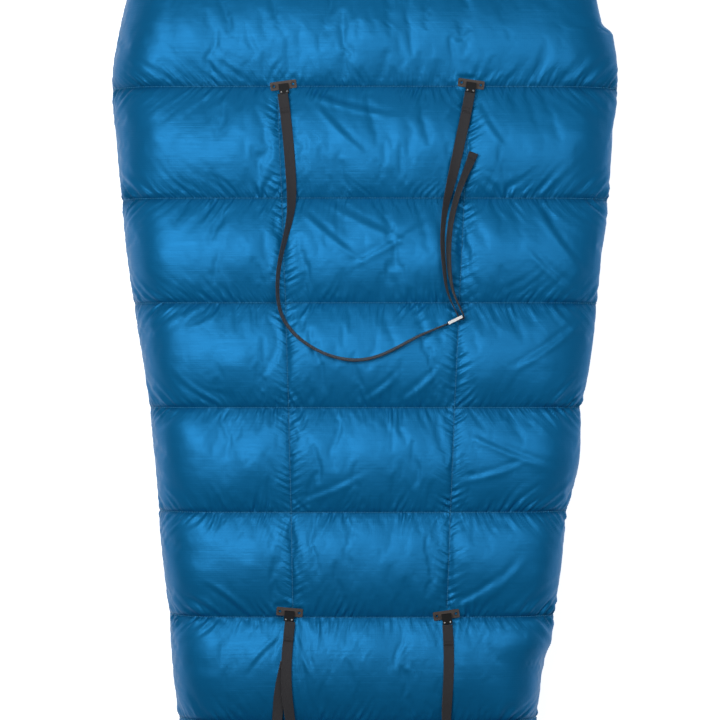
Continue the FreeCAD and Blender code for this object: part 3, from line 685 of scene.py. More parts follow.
CREASES = [                 # start, end, half-width and height of a long crease, in metres
    ((0.139, -0.190), (0.205, -0.140), 0.0050, 0.0022),
    ((0.165, -0.188), (0.240, -0.110), 0.0060, 0.0016),
    ((-0.150, -0.212), (-0.235, -0.150), 0.0045, 0.0022),
    ((-0.190, -0.212), (-0.262, -0.170), 0.0040, 0.0020),
    ((-0.225, -0.210), (-0.270, -0.188), 0.0035, 0.0018),
    ((-0.098, -0.225), (-0.060, -0.300), 0.0040, 0.0018),
    ((-0.096, -0.240), (-0.074, -0.350), 0.0045, 0.0016),
    ((-0.120, -0.230), (-0.170, -0.290), 0.0040, 0.0014),
    ((0.150, 0.545), (0.118, 0.515), 0.0040, 0.0020),
    ((0.165, 0.540), (0.215, 0.470), 0.0045, 0.0014),
    ((-0.085, 0.555), (0.060, 0.520), 0.0050, 0.0018),
    ((-0.070, 0.540), (0.020, 0.455), 0.0050, 0.0014),
    ((-0.095, 0.390), (0.020, 0.300), 0.0050, 0.0016),
    ((-0.060, 0.400), (0.090, 0.330), 0.0055, 0.0014),
    ((-0.020, 0.300), (0.110, 0.385), 0.0050, 0.0014),
    ((0.250, 0.390), (0.330, 0.290), 0.0055, 0.0018),
    ((0.235, 0.330), (0.320, 0.260), 0.0050, 0.0016),
    ((0.215, 0.150), (0.330, 0.235), 0.0050, 0.0016),
    ((-0.110, 0.060), (-0.060, 0.130), 0.0045, 0.0014),
    ((0.000, 0.105), (0.060, 0.160), 0.0045, 0.0014),
    ((0.055, 0.105), (0.120, 0.170), 0.0045, 0.0014),
    ((0.140, -0.010), (0.250, 0.030), 0.0045, 0.0014),
    ((0.150, 0.060), (0.290, 0.010), 0.0050, 0.0016),
    ((-0.090, -0.040), (0.010, 0.010), 0.0045, 0.0012),
]


def long_creases(x, y):
    """Height of the creases that the straps and their anchors pull across the baffles."""
    height = np.zeros(x.shape)
    for (x0, y0), (x1, y1), wide, tall in CREASES:
        length = math.hypot(x1 - x0, y1 - y0)
        ux, uy = (x1 - x0) / length, (y1 - y0) / length
        along = ((x - x0) * ux + (y - y0) * uy) / length
        away = (y - y0) * ux - (x - x0) * uy + 0.006 * np.sin(along * 2.6)
        fade = plateau(along, -0.05, 0.2, 0.55, 1.05)
        ridge = np.exp(-(away / wide) ** 2) - 0.75 * np.exp(-((away - 1.5 * wide) / wide) ** 2)
        height += 0.8 * tall * fade * ridge
    return height


def plate_seats(points):
    """Presses the cloth flat under each anchor plate; says which points are held."""
    held = np.zeros(points.shape[:2], bool)
    for seam, x, from_seam, turn in ANCHORS.values():
        c, s = math.cos(math.radians(turn)), math.sin(math.radians(turn))
        dx, dy = points[..., 0] - x, points[..., 1] - SEAMS[seam] - from_seam
        inside = (abs(dx * c + dy * s) < PLATE_HALF[0]) & (abs(dy * c - dx * s) < PLATE_HALF[1])
        points[inside, 2] = TOP - PLATE_SINK
        held |= inside
    return held


LAYERS = {}


def sew_layer(name, cell, upright, y_end, seed):
    """Simulates one layer and returns its grid, finer and with its gathers, and its seam rows."""
    cell = cell * 1.0
    ys, seam_rows = layer_rows(cell, y_end)
    columns = int(0.80 / cell)
    flat = np.array([[(x, y, z) for x, z in section(y, columns)] for y in ys])
    points = flat.copy()
    rise = np.array([pillow(baffle_place(y)) * math.sqrt(max(0.0, 1.0 - end_turn(y) ** 2)) for y in ys])
    rise[seam_rows] = 0.0
    inset = np.minimum(np.linspace(0, 1, columns), np.linspace(1, 0, columns)) * columns * cell
    edge = smooth_step(inset, 0.0, 0.10)
    lumps = 1.0 + 0.12 * ripples_2d(seed, 0.06, 0.16)(flat[..., 0], flat[..., 1])
    lift = rise[:, None] * edge[None, :] * lumps * sizes().bulge
    normals = grid_normals(flat)
    points += normals * lift[..., None]
    points[..., 2] += ripples_2d(seed + 1, 0.018, 0.06)(flat[..., 0], flat[..., 1]) * 0.0003 * rise[:, None]
    index = np.arange(points.shape[0] * columns).reshape(-1, columns)
    pinned = set(index[seam_rows].ravel()) | set(index[:, 0]) | set(index[:, -1])
    pinned |= set(index[0]) | set(index[-1])
    if upright:
        pinned |= set(index[plate_seats(points)])
    cloth = mesh_object(name, points.reshape(-1, 3), grid_faces(len(ys), columns), finish(shell_fabric))
    moved = inflate(cloth, sorted(pinned), sizes().frames).reshape(points.shape)
    reach = moved - points
    size = np.linalg.norm(reach, axis=-1, keepdims=True)
    points = points + reach * np.minimum(1.0, 0.006 / np.maximum(size, 1e-9))
    bpy.data.objects.remove(cloth)
    grid, still = finer(points), finer(flat)
    step = np.linalg.norm(np.diff(still, axis=1), axis=-1)
    run = np.concatenate([np.zeros((len(grid), 1)), np.cumsum(step, axis=1)], 1)
    run -= run[:, -1:] / 2.0
    height = seam_gathers(still, run, seed, upright)
    if upright:
        height += long_creases(grid[..., 0], grid[..., 1])
        flat_under = plate_seats(grid.copy())
        height[flat_under] = 0.0
    ends = np.minimum(np.linspace(0, 1, grid.shape[1]), np.linspace(1, 0, grid.shape[1])) * 0.8
    height *= smooth_step(ends, 0.0, 0.012)[None, :]
    for row in seam_rows:
        height[2 * row] = 0.0
    grid = grid + grid_normals(grid) * height[..., None]
    from_seam = np.min([abs(still[..., 1] - seam) for seam in ALL_SEAMS], axis=0)
    return grid, [2 * row for row in seam_rows], np.stack([run, from_seam], -1)


def layer_pieces(grid, seam_rows, places, names, nodes):
    """Cuts the layer at its seams into one padded piece for each baffle."""
    cuts = [0] + seam_rows + [len(grid) - 1]
    for (a, b), name, replaced in zip(zip(cuts, cuts[1:]), names, nodes):
        part = grid[a:b + 1]
        made = grid_object(name, part, finish(shell_fabric), uvs=places[a:b + 1].reshape(-1, 2))
        piece(made, "quilted_shell", *replaced)


def make_back():
    grid, seam_rows, places = sew_layer("back_cloth", sizes().cell, True, HOOD_END - 0.005, 7)
    LAYERS["back"] = grid, seam_rows
    names = ["foot_back_shell"] + ["back_shell_%02d" % (i + 1) for i in range(BODY_BAFFLES)]
    names += ["hood_back_shell_%d" % (i + 1) for i in range(3)]
    nodes = [["footbox_back_panel"]] + [["back_baffle_%02d" % (i + 1)] for i in range(BODY_BAFFLES)]
    nodes += [["hood_back_panel"], [], []]
    layer_pieces(grid, seam_rows, places, names, nodes)


def make_front():
    """The layer that the bag lies on: as the back, turned over and pressed flat by the ground."""
    grid, seam_rows, places = sew_layer("front_cloth", sizes().cell * 1.7, False, CHIN_END, 91)
    y, z = grid[..., 1], 2.0 * MIDDLE - grid[..., 2]
    curl = smooth_step(y, CHIN_END - 0.022, CHIN_END)
    z = z + curl * np.clip(0.034 - z, 0.0, None)
    z = np.where(z < 0.006, 0.0006 + 0.0054 * np.exp((z - 0.006) / 0.008), z)
    front = np.stack([grid[..., 0], y, z], -1)[:, ::-1]
    LAYERS["front"] = front, seam_rows
    names = ["foot_front_shell"] + ["front_shell_%02d" % (i + 1) for i in range(BODY_BAFFLES)]
    names.append("chin_shell")
    nodes = [["footbox_front_panel", "footbox_end_panel"]]
    nodes += [["front_baffle_%02d" % (i + 1)] for i in range(BODY_BAFFLES)] + [["chin_panel"]]
    layer_pieces(front, seam_rows, places[:, ::-1], names, nodes)


# ---- hood ring, lining, collar and draft tube -------------------------------------------------
def resample(line, count):
    run = np.concatenate([[0.0], np.cumsum(np.linalg.norm(np.diff(line, axis=0), axis=1))])
    want = np.linspace(0.0, run[-1], count)
    return np.stack([np.interp(want, run, line[:, k]) for k in range(line.shape[1])], 1), run[-1]


def make_hood_ring():
    """The hood's rim round the face: a padded ring whose outer edge is sewn to the back layer."""
    back, _ = LAYERS["back"]
    rows = np.nonzero(back[:, 0, 1] > CHIN_END - 0.035)[0]
    edge = np.concatenate([back[rows, -1], back[-1, ::-1], back[rows[::-1], 0]])
    outline, length = resample(edge, 300)
    plan = outline[:, :2]
    ahead = np.gradient(plan, axis=0)
    ahead /= np.linalg.norm(ahead, axis=1, keepdims=True)
    inward = np.stack([-ahead[:, 1], ahead[:, 0]], 1)
    for _ in range(12):
        inward[1:-1] = (inward[:-2] + inward[1:-1] + inward[2:]) / 3.0
    inward /= np.linalg.norm(inward, axis=1, keepdims=True)
    profile = np.concatenate([
        curve_points(np.array([0.0, MIDDLE]), np.array([-0.006, 0.030]), np.array([0.004, 0.001]),
                     np.array([0.030, 0.0015]), 16)[:-1],
        curve_points(np.array([0.030, 0.0015]), np.array([0.044, 0.002]), np.array([0.048, 0.020]),
                     np.array([0.043, 0.045]), 10)[:-1],
        curve_points(np.array([0.043, 0.045]), np.array([0.040, 0.070]), np.array([0.042, 0.095]),
                     np.array([0.050, 0.1165]), 8)])
    run = np.linspace(0.0, length, len(plan))
    cells = 9
    wave = abs(np.sin(run / length * math.pi * cells)) ** 0.6
    gather = ripples(77, 0.009, 0.022)
    ring = []
    for i, (place, way) in enumerate(zip(plan, inward)):
        near_seam = 1.0 - wave[i]
        row = []
        for j, (inset, z) in enumerate(profile):
            t = j / (len(profile) - 1)
            swell = math.sin(math.pi * min(1.0, t * 1.15)) if t < 0.87 else 0.0
            fold = 0.0008 * gather(run[i] + 0.1 * t) * (0.4 + near_seam)
            push = ((wave[i] - 0.7) * 0.007 + fold) * swell
            out_z = -1.0 if inset < 0.034 and z < 0.03 else 0.0
            x, y = place + way * (inset + (push * (1 if z >= 0.03 and inset > 0.02 else -0.4)))
            row.append((x, y, max(0.0006, z + out_z * push)))
        ring.append(row)
    ring = np.array(ring)
    made = grid_object("hood_ring", ring, finish(shell_fabric))
    piece(made, "quilted_shell", "hood_left_panel", "hood_right_panel", "hood_crown")


def make_lining():
    """The inner fabric: the space for the sleeper, closed at the foot and open at the face."""
    body, hood = np.linspace(FOOT_END + 0.045, SEAMS[-1], 180), np.linspace(SEAMS[-1], HOOD_END - 0.05, 44)
    ys = np.concatenate([body, hood[1:]])
    wobble = ripples_2d(5, 0.03, 0.11)
    upper, lower = [], []
    for y in ys:
        in_zip = smooth_step(y, ZIP_LOW[1] - 0.09, ZIP_LOW[1] - 0.05)
        in_zip *= 1 - smooth_step(y, ZIP_HIGH[1] + 0.02, ZIP_HIGH[1] + 0.06)
        half = max(0.03, half_width(y) - 0.048 - 0.016 * float(in_zip))
        foot = smooth_step(y, FOOT_END + 0.045, FOOT_END + 0.10)
        half -= 0.06 * (1.0 - float(foot))
        high, low = 0.1165 - 0.020 * (1 - float(foot)), 0.034 + 0.020 * (1 - float(foot))
        corner = 0.022
        left = [(-half, low), (-half, high - corner), (-half + 0.3 * corner, high - 0.3 * corner),
                (-half + corner, high)]
        line = np.array(left + [(-x, z) for x, z in reversed(left)])
        fine, _ = resample(line, 90)
        upper.append([(x, y, z) for x, z in fine])
        if y < CHIN_END:
            lower.append([(x, y, low) for x in np.linspace(-half, half, 60)])
    for name, rows, nodes, lean in (
            ("lining_back", upper, ["left_side_wall_foot", "left_side_wall_leg", "left_side_wall_chest",
                                    "left_side_wall_neck"], -1.0),
            ("lining_front", lower, ["right_side_wall_foot", "right_side_wall_neck"], 1.0)):
        grid = np.array(rows)
        grid[..., 2] += lean * 0.0012 * (1.0 + wobble(grid[..., 0], grid[..., 1]))
        made = grid_object(name, grid, finish(liner_finish))
        piece(made, "quilted_liner", *nodes)


def roll(name, start, end, half_wide, half_tall, material, dent=0.0, seed=3, steps=160):
    """A stuffed roll from start to end, with gathers, tapered at its ends."""
    start, end = np.array(start), np.array(end)
    length = np.linalg.norm(end - start)
    ahead = (end - start) / length
    out = np.array([ahead[1], -ahead[0], 0.0])
    gather, slow = ripples(seed, 0.010, 0.024), ripples(seed + 1, 0.05, 0.15)
    rings = []
    for s in np.linspace(0.0, 1.0, steps):
        taper = (1.0 - (2.0 * s - 1.0) ** 30) ** 0.5 if 0 < s < 1 else 0.05
        ring = []
        for a in np.linspace(0.0, 2 * math.pi, 33)[:-1]:
            c, d = math.cos(a), math.sin(a)
            wide = math.copysign(abs(c) ** 0.75, c) * half_wide
            tall = math.copysign(abs(d) ** 0.75, d) * half_tall
            puff = 1.0 - 0.03 * abs(gather(s * length)) - 0.02 * slow(s * length)
            hollow = dent * math.exp(-(tall / 0.008) ** 2) if c > 0 else 0.0
            ring.append(start + ahead * length * s + out * (wide * puff - hollow) * taper
                        + np.array([0, 0, tall * puff * taper]))
        rings.append(ring)
    rings = np.array(rings)
    faces = [list(f) for f in grid_faces(steps, 32, around=True)]
    faces += [list(range(31, -1, -1)), list(range((steps - 1) * 32, steps * 32))]
    return mesh_object(name, rings.reshape(-1, 3), faces, material)


def make_collar_and_tube():
    low, high = node_box("draft_collar")
    wide = (high[1] - low[1]) / 2.0
    tall = 0.0118
    for name, z in (("collar_roll_back", high[2] - tall), ("collar_roll_front", low[2] + tall)):
        ends = (low[0], high[1] - wide, z), (high[0], high[1] - wide, z)
        made = roll(name, *ends, wide, tall, finish(liner_finish), seed=40)
        piece(made, "quilted_liner", *(["draft_collar"] if "back" in name else []))
    low, high = node_box("draft_tube")
    x0, x1 = zip_line(low[1]) - 0.020, zip_line(high[1]) - 0.020
    tube = roll("draft_tube_shell", (x0, low[1], MIDDLE), (x1, high[1], MIDDLE), 0.0190, 0.037,
                finish(shell_fabric), dent=0.006, seed=60, steps=300)
    piece(tube, "quilted_shell", "draft_tube")


def make_zip_end():
    """The short side panel that the closure tab lies on, between the two layers past the zip."""
    ys = np.linspace(ZIP_HIGH[1] + 0.008, TAB_HIGH[1] + 0.026, 40)
    zs = np.linspace(MIDDLE - 0.021, MIDDLE + 0.021, 16)
    gather = ripples(83, 0.008, 0.02)
    grid = np.array([[(min(tab_line(y) - 0.002, zip_line(y) + 0.001) - 0.0006 * (1 + gather(z + y)), y, z)
                      for z in zs] for y in ys])
    made = grid_object("zip_end_panel", grid, finish(shell_fabric))
    piece(made, "quilted_shell")


# ---- sewing thread ---------------------------------------------------------------------------
def stitches(line, stitch=0.0027, gap=0.0011, thick=0.00042, lift=0.0003):
    """Small stitches along a line of points: places of their corners, and their faces."""
    steps = np.linalg.norm(np.diff(line, axis=0), axis=1)
    run = np.concatenate([[0.0], np.cumsum(steps)])
    starts = np.arange(0.002, run[-1] - stitch, stitch + gap)
    points, faces = [], []
    for s in starts:
        ends = [np.array([np.interp(t, run, line[:, k]) for k in range(3)]) for t in (s, s + stitch)]
        ahead = ends[1] - ends[0]
        ahead /= max(np.linalg.norm(ahead), 1e-9)
        side = np.cross(ahead, (0.0, 0.0, 1.0))
        side /= max(np.linalg.norm(side), 1e-9)
        up = np.cross(side, ahead)
        first = len(points)
        for t, rise in ((0.0, -0.2), (0.25, 1.0), (0.75, 1.0), (1.0, -0.2)):
            centre = ends[0] + (ends[1] - ends[0]) * t + up * (lift + thick * rise)
            points += [centre - side * thick, centre + up * thick, centre + side * thick, centre - up * thick]
        for k in range(3):
            for c in range(4):
                a, b = first + 4 * k + c, first + 4 * k + (c + 1) % 4
                faces.append((a, b, b + 4, a + 4))
        faces += [tuple(first + c for c in (3, 2, 1, 0)), tuple(first + 12 + c for c in range(4))]
    return points, faces


def sew(name, lines):
    points, faces = [], []
    for line in lines:
        more, drawn = stitches(np.asarray(line))
        faces += [tuple(i + len(points) for i in f) for f in drawn]
        points += more
    made = mesh_object(name, points, faces, finish(thread_finish), smooth=False)
    return piece(made, "quilted_shell")


def grid_at(grid, x, y):
    """The point of the layer at x and y, between its rows and columns."""
    row = int(np.clip(np.searchsorted(grid[:, grid.shape[1] // 2, 1], y), 1, len(grid) - 1))
    line = grid[row]
    middle = slice(grid.shape[1] // 8, grid.shape[1] * 7 // 8)
    return np.array([x, y, np.interp(x, line[middle, 0], line[middle, 2])])


def make_thread():
    grid, seam_rows = LAYERS["back"]
    for i, row in enumerate(seam_rows):
        sew("back_stitches_%02d" % (i + 1), [grid[row, 3:-3]])
    for side, name in ((-1, "left"), (1, "right")):
        ys = np.linspace(SEAMS[LOWER_SEAM] + 0.012, SEAMS[UPPER_SEAM] - 0.004, 300)
        sew("upright_stitches_" + name, [[grid_at(grid, upright_seam(side, y), y) for y in ys]])
    front, rows = LAYERS["front"]
    sew("front_stitches", [front[row, 2:-2] for row in rows])


# ---- straps ----------------------------------------------------------------------------------
# Each point is x, y from the anchor's seam, and the band's tilt in degrees: 0 lies flat, 90 stands.
STRAPS = {
    "strap_upper_left": (UPPER_SEAM, [
        (-0.1146, -0.0125, 0), (-0.1105, -0.043, 0), (-0.106, -0.085, 4), (-0.103, -0.127, 12),
        (-0.1015, -0.161, 30), (-0.104, -0.193, 55), (-0.112, -0.225, 68), (-0.119, -0.255, 72),
        (-0.1225, -0.285, 74), (-0.1215, -0.315, 76), (-0.114, -0.339, 76), (-0.098, -0.360, 76),
        (-0.076, -0.377, 78), (-0.050, -0.390, 78), (-0.022, -0.397, 76), (0.004, -0.397, 76),
        (0.031, -0.389, 78), (0.058, -0.375, 78), (0.083, -0.3615, 80), (0.104, -0.3528, 84),
        (0.1231, -0.3447, 88)]),
    "strap_upper_right": (UPPER_SEAM, [
        (0.1560, -0.0105, 0), (0.1505, -0.041, 0), (0.1425, -0.077, 4), (0.135, -0.113, 14),
        (0.127, -0.147, 35), (0.1195, -0.177, 58), (0.1158, -0.209, 66), (0.1158, -0.240, 66),
        (0.1185, -0.268, 70), (0.1210, -0.290, 76), (0.1268, -0.309, 84), (0.1350, -0.3255, 88),
        (0.1417, -0.3399, 90), (0.1489, -0.3363, 90), (0.1415, -0.3218, 88), (0.1318, -0.301, 84),
        (0.1268, -0.277, 76), (0.1248, -0.252, 68), (0.1248, -0.227, 64), (0.1272, -0.203, 62),
        (0.1325, -0.177, 60), (0.140, -0.151, 58), (0.151, -0.1235, 50), (0.1615, -0.098, 30)]),
    "strap_lower_left": (LOWER_SEAM, [
        (-0.104, -0.005, 0), (-0.1073, -0.035, 0), (-0.1094, -0.066, 0), (-0.1092, -0.097, 2),
        (-0.1068, -0.126, 8), (-0.103, -0.153, 26), (-0.0995, -0.181, 48), (-0.0968, -0.210, 62),
        (-0.0965, -0.239, 70), (-0.0998, -0.265, 78), (-0.1046, -0.282, 84), (-0.1088, -0.2972, 88),
        (-0.112, -0.3108, 90), (-0.1198, -0.309, 90), (-0.1163, -0.294, 88), (-0.1165, -0.274, 80),
        (-0.1203, -0.248, 66), (-0.124, -0.221, 50), (-0.1256, -0.195, 34), (-0.1248, -0.168, 20),
        (-0.1223, -0.141, 8), (-0.1206, -0.113, 0), (-0.116, -0.087, 0), (-0.1105, -0.063, 0)]),
    "strap_lower_right": (LOWER_SEAM, [
        (0.1232, -0.0095, 0), (0.1253, -0.039, 0), (0.1252, -0.075, 2), (0.1234, -0.111, 8),
        (0.1216, -0.145, 26), (0.1218, -0.177, 50), (0.1243, -0.209, 66), (0.1245, -0.241, 74),
        (0.1185, -0.273, 78), (0.1025, -0.299, 78), (0.080, -0.320, 78), (0.053, -0.336, 78),
        (0.024, -0.344, 78), (-0.005, -0.342, 78), (-0.032, -0.333, 80), (-0.055, -0.3225, 82),
        (-0.075, -0.3155, 86), (-0.0928, -0.3112, 88)]),
}
BENEATH = {"strap_lower_left": 19}      # from this point on the band passes under its own first stretch
STRAP_ENDS = {"strap_upper_left": "buckle_upper", "strap_lower_right": "buckle_lower"}


def ground_tree():
    grid, _ = LAYERS["back"]
    return BVHTree.FromPolygons([tuple(p) for p in grid.reshape(-1, 3)],
                                [tuple(int(i) for i in f) for f in grid_faces(*grid.shape[:2])])


def cloth_height(tree, x, y, reach):
    """The highest of the cloth round x and y, which is what a stiff band lies on."""
    found = []
    for dx, dy in ((0, 0), (reach, 0), (-reach, 0), (0, reach), (0, -reach)):
        hit = tree.ray_cast(Vector((x + dx, y + dy, 0.3)), Vector((0, 0, -1)))[0]
        found.append(hit.z)
    return max(found)


def strap_line(name, tree):
    """Control points of a strap's middle line and the band's tilt at each."""
    seam, route = STRAPS[name]
    wide, thick = sizes().strap_width, sizes().strap_thickness
    ends_on = node_box("strap_hooks")[1][2]
    points, tilts = [], []
    for i, (x, from_seam, tilt) in enumerate(route):
        y = SEAMS[seam] + from_seam
        stand = math.sin(math.radians(tilt)) * wide / 2.0 + thick / 2.0
        lie = cloth_height(tree, x, y, 0.004) + 0.0006
        beneath = name in BENEATH and i >= BENEATH[name]
        if name in BENEATH and i < 7:
            lie += 0.0026 * (1.0 - smooth_step(i, 4.5, 6.5))
        z = lie + stand
        if i == 0:
            z = ends_on + thick / 2.0 + 0.0002
        if i == 1:
            z = max(z, ends_on - 0.0015)
        if not beneath:
            z = max(z, ends_on - 0.006 + stand)
        points.append((x, y, min(z, ends_on + stand + 0.009)))
        tilts.append(math.radians(tilt))
    return points, tilts


def along_curve(points, tilts, count):
    """Points and tilts along a smooth curve whose control points are given."""
    curve = bpy.data.curves.new("route", "CURVE")
    curve.dimensions = "3D"
    curve.resolution_u = 10
    spline = curve.splines.new("NURBS")
    spline.points.add(len(points) - 1)
    for made, point, tilt in zip(spline.points, points, tilts):
        made.co = (*point, 1.0)
    spline.order_u = 3
    spline.use_endpoint_u = True
    holder = bpy.data.objects.new("route", curve)
    bpy.context.collection.objects.link(holder)
    bpy.context.view_layer.update()
    mesh = bpy.data.meshes.new_from_object(holder)
    fine = np.array([v.co[:] for v in mesh.vertices])
    bpy.data.objects.remove(holder)
    bpy.data.meshes.remove(mesh)
    bpy.data.curves.remove(curve)
    spots, length = resample(fine, count)
    control = np.array(points)
    nearest = []
    start = 0
    for p in spots:
        reach = control[start:start + 4]
        start += int(np.argmin(np.linalg.norm(reach - p, axis=1)))
        before, after = max(0, start - 1), min(len(control) - 1, start + 1)
        da, db = np.linalg.norm(control[before] - p), np.linalg.norm(control[after] - p)
        dc = np.linalg.norm(control[start] - p)
        other = before if da - np.linalg.norm(control[before] - control[start]) < \
            db - np.linalg.norm(control[after] - control[start]) else after
        d_other = np.linalg.norm(control[other] - p)
        nearest.append((tilts[start] * d_other + tilts[other] * dc) / max(d_other + dc, 1e-9))
    tilt = np.array(nearest)
    for _ in range(30):
        tilt[1:-1] = (tilt[:-2] + 2 * tilt[1:-1] + tilt[2:]) / 4.0
    return spots, tilt, length


def band(spots, tilts, wide, thick, lift=0.0):
    """A flat woven band round a line: points, faces and places across and along it."""
    ahead = np.gradient(spots, axis=0)
    ahead /= np.linalg.norm(ahead, axis=1, keepdims=True)
    side = np.cross(ahead, (0.0, 0.0, 1.0))
    side /= np.linalg.norm(side, axis=1, keepdims=True)
    above = np.cross(side, ahead)
    across = side * np.cos(tilts)[:, None] + above * np.sin(tilts)[:, None]
    face = np.cross(across, ahead)
    shape = [(-0.5, -0.15), (-0.485, 0.42), (-0.44, 0.5), (-0.40, 0.38),
             (0.0, 0.38), (0.40, 0.38), (0.44, 0.5), (0.485, 0.42),
             (0.5, -0.15), (0.44, -0.5), (0.40, -0.38), (0.0, -0.38), (-0.40, -0.38), (-0.44, -0.5)]
    run = np.concatenate([[0.0], np.cumsum(np.linalg.norm(np.diff(spots, axis=0), axis=1))])
    points, uvs = [], []
    for p, w, f, s in zip(spots, across, face, run):
        for a, b in shape:
            points.append(p + w * a * wide + f * (b * thick + lift))
            uvs.append((a * wide, s))
    n = len(shape)
    faces = [list(f) for f in grid_faces(len(spots), n, around=True)]
    faces += [list(range(n - 1, -1, -1)), list(range(len(points) - n, len(points)))]
    return points, faces, uvs


def sunk(tree, control, spots, tilts):
    """How far the cloth comes through the band near each control point, but not at the band's two ends."""
    wide, thick = sizes().strap_width, sizes().strap_thickness
    lie = [cloth_height(tree, x, y, wide * 0.45 * math.cos(a)) for (x, y, _), a in zip(spots, tilts)]
    through = np.array(lie) + np.sin(tilts) * wide / 2.0 + thick / 2.0 + 0.0004 - spots[:, 2]
    rises = []
    for i, place in enumerate(control):
        near = np.linalg.norm(spots - place, axis=1) < 0.024
        inside = 0 < i < len(control) - 3 and near.any()
        rises.append(float(np.clip(through[near].max(), 0.0, 0.004)) if inside else 0.0)
    return rises


def make_strap(name, tree):
    """One strap: a band folded over and sewn at its hook, hemmed at its end where that is free."""
    wide, thick = sizes().strap_width, sizes().strap_thickness
    control, tilts = strap_line(name, tree)
    count = 260
    for _ in range(2):
        spots, tilt, length = along_curve(control, tilts, count)
        control = [(x, y, z + rise) for (x, y, z), rise in zip(control, sunk(tree, control, spots, tilt))]
    spots, tilt, length = along_curve(control, tilts, count)
    end = STRAP_ENDS.get(name)
    folded, hem = int(count * 0.030 / length) + 1, int(count * 0.011 / length) + 1
    points, faces, uvs = band(spots, tilt, wide, thick)
    doubled = [slice(0, folded)] + ([] if end else [slice(count - hem, count)])
    for part in doubled:
        more, drawn, places = band(spots[part], tilt[part], wide * 0.97, thick * 0.9, lift=thick * 0.93)
        faces += [[i + len(points) for i in f] for f in drawn]
        points += more
        uvs += places
    made = mesh_object(name + "_band", points, faces, finish(webbing_finish), uvs=uvs)
    piece(made, "webbing", name)
    seams = []
    side = np.cross(np.gradient(spots, axis=0)[folded - 2], (0, 0, 1.0))
    side /= np.linalg.norm(side)
    for back in (2, 4):
        middle = spots[max(1, folded - back)] + np.array([0, 0, thick * 1.45])
        seams.append([middle + side * t for t in np.linspace(-wide * 0.42, wide * 0.42, 8)])
    bar = sew(name + "_bartack", seams)
    bar.data.materials[0] = finish(webbing_finish)
    print(name, "length", round(length * 1000))


def make_straps():
    tree = ground_tree()
    for name in STRAPS:
        make_strap(name, tree)


# ---- zip and hardware ------------------------------------------------------------------------
def make_coil():
    """The zip's coil: two rows of turns that mesh along the middle."""
    low, high = node_box("zip_coil")
    start, end = np.array([low[0] + 0.0004, low[1]]), np.array([0.0, high[1]])
    end[0] = start[0] + (ZIP_HIGH[0] - ZIP_LOW[0]) * (high[1] - low[1]) / (ZIP_HIGH[1] - ZIP_LOW[1])
    length = np.linalg.norm(end - start)
    ahead = (end - start) / length
    out = np.array([ahead[1], -ahead[0]])
    pitch = sizes().tooth_pitch
    points, faces = [], []
    loop = [(-0.0005, -0.0002), (0.0026, -0.0002), (0.0031, 0.0010), (0.0026, 0.0021), (0.0002, 0.0021)]
    for row in (-1, 1):
        for k in range(int(length / pitch)):
            at = start + ahead * (k + (0.5 if row > 0 else 0.0)) * pitch
            first = len(points)
            for reach, rise in loop:
                place = at + out * rise
                for side in (-1, 1):
                    p = place + ahead * side * 0.00036
                    z = MIDDLE + row * (0.0030 - reach)
                    points.append((p[0] + out[0] * 0.0, p[1], z))
                    points.append((p[0] + out[0] * 0.0006, p[1] + out[1] * 0.0006, z + row * 0.0002))
            for j in range(len(loop) - 1):
                a = first + 4 * j
                for q, r in ((0, 1), (1, 3), (3, 2), (2, 0)):
                    faces.append((a + q, a + r, a + 4 + r, a + 4 + q))
    made = mesh_object("coil_turns", points, faces, finish(coil_finish), smooth=False)
    piece(made, "coil_plastic", "zip_coil")


def make_hardware():
    for name in ("zip_tape_back", "zip_tape_front"):
        dress(name, finish(zip_finish))
    for name in ("slider_upper", "slider_lower", "puller_upper", "puller_lower", "zip_stops"):
        dress(name, finish(dark_metal_finish))
    for name in ("pull_loop_upper", "pull_loop_lower", "hood_drawcord"):
        dress(name, finish(cord_finish))
    for name in ("buckle_upper", "buckle_lower"):
        dress(name, finish(metal_finish))
    dress("anchor_plates", finish(plate_finish))
    for name in ("strap_hooks", "cord_lock_body", "cord_lock_button"):
        dress(name, finish(hook_finish))
    dress("hang_loops", finish(webbing_finish))
    dress("closure_tab", finish(shell_fabric))


def make_spring():
    """The coil spring of the cord lock, made at its full length; in the lock it shortens as the button goes
    down.
    """
    low, high = node_box("cord_lock_spring")
    centre = (np.array(low) + np.array(high)) / 2.0
    wire = 0.00045
    reach = (high[0] - low[0]) / 2.0 - wire
    turns, steps, sides = 5.0, 160, 8
    points = []
    for t in np.linspace(0.0, 1.0, steps):
        a = 2 * math.pi * turns * t
        out = np.array([math.cos(a), math.sin(a), 0.0])
        z = low[2] + wire + (high[2] - low[2] - 2 * wire) * t
        middle = np.array([centre[0], centre[1], z]) + out * reach
        for b in np.linspace(0.0, 2 * math.pi, sides + 1)[:-1]:
            points.append(middle + (out * math.cos(b) + np.array([0, 0, math.sin(b)])) * wire)
    faces = [list(f) for f in grid_faces(steps, sides, around=True)]
    faces += [list(range(sides - 1, -1, -1)), list(range((steps - 1) * sides, steps * sides))]
    made = mesh_object("cord_lock_coil", points, faces, finish(metal_finish))
    piece(made, "spring_steel", "cord_lock_spring")
    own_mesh(made)


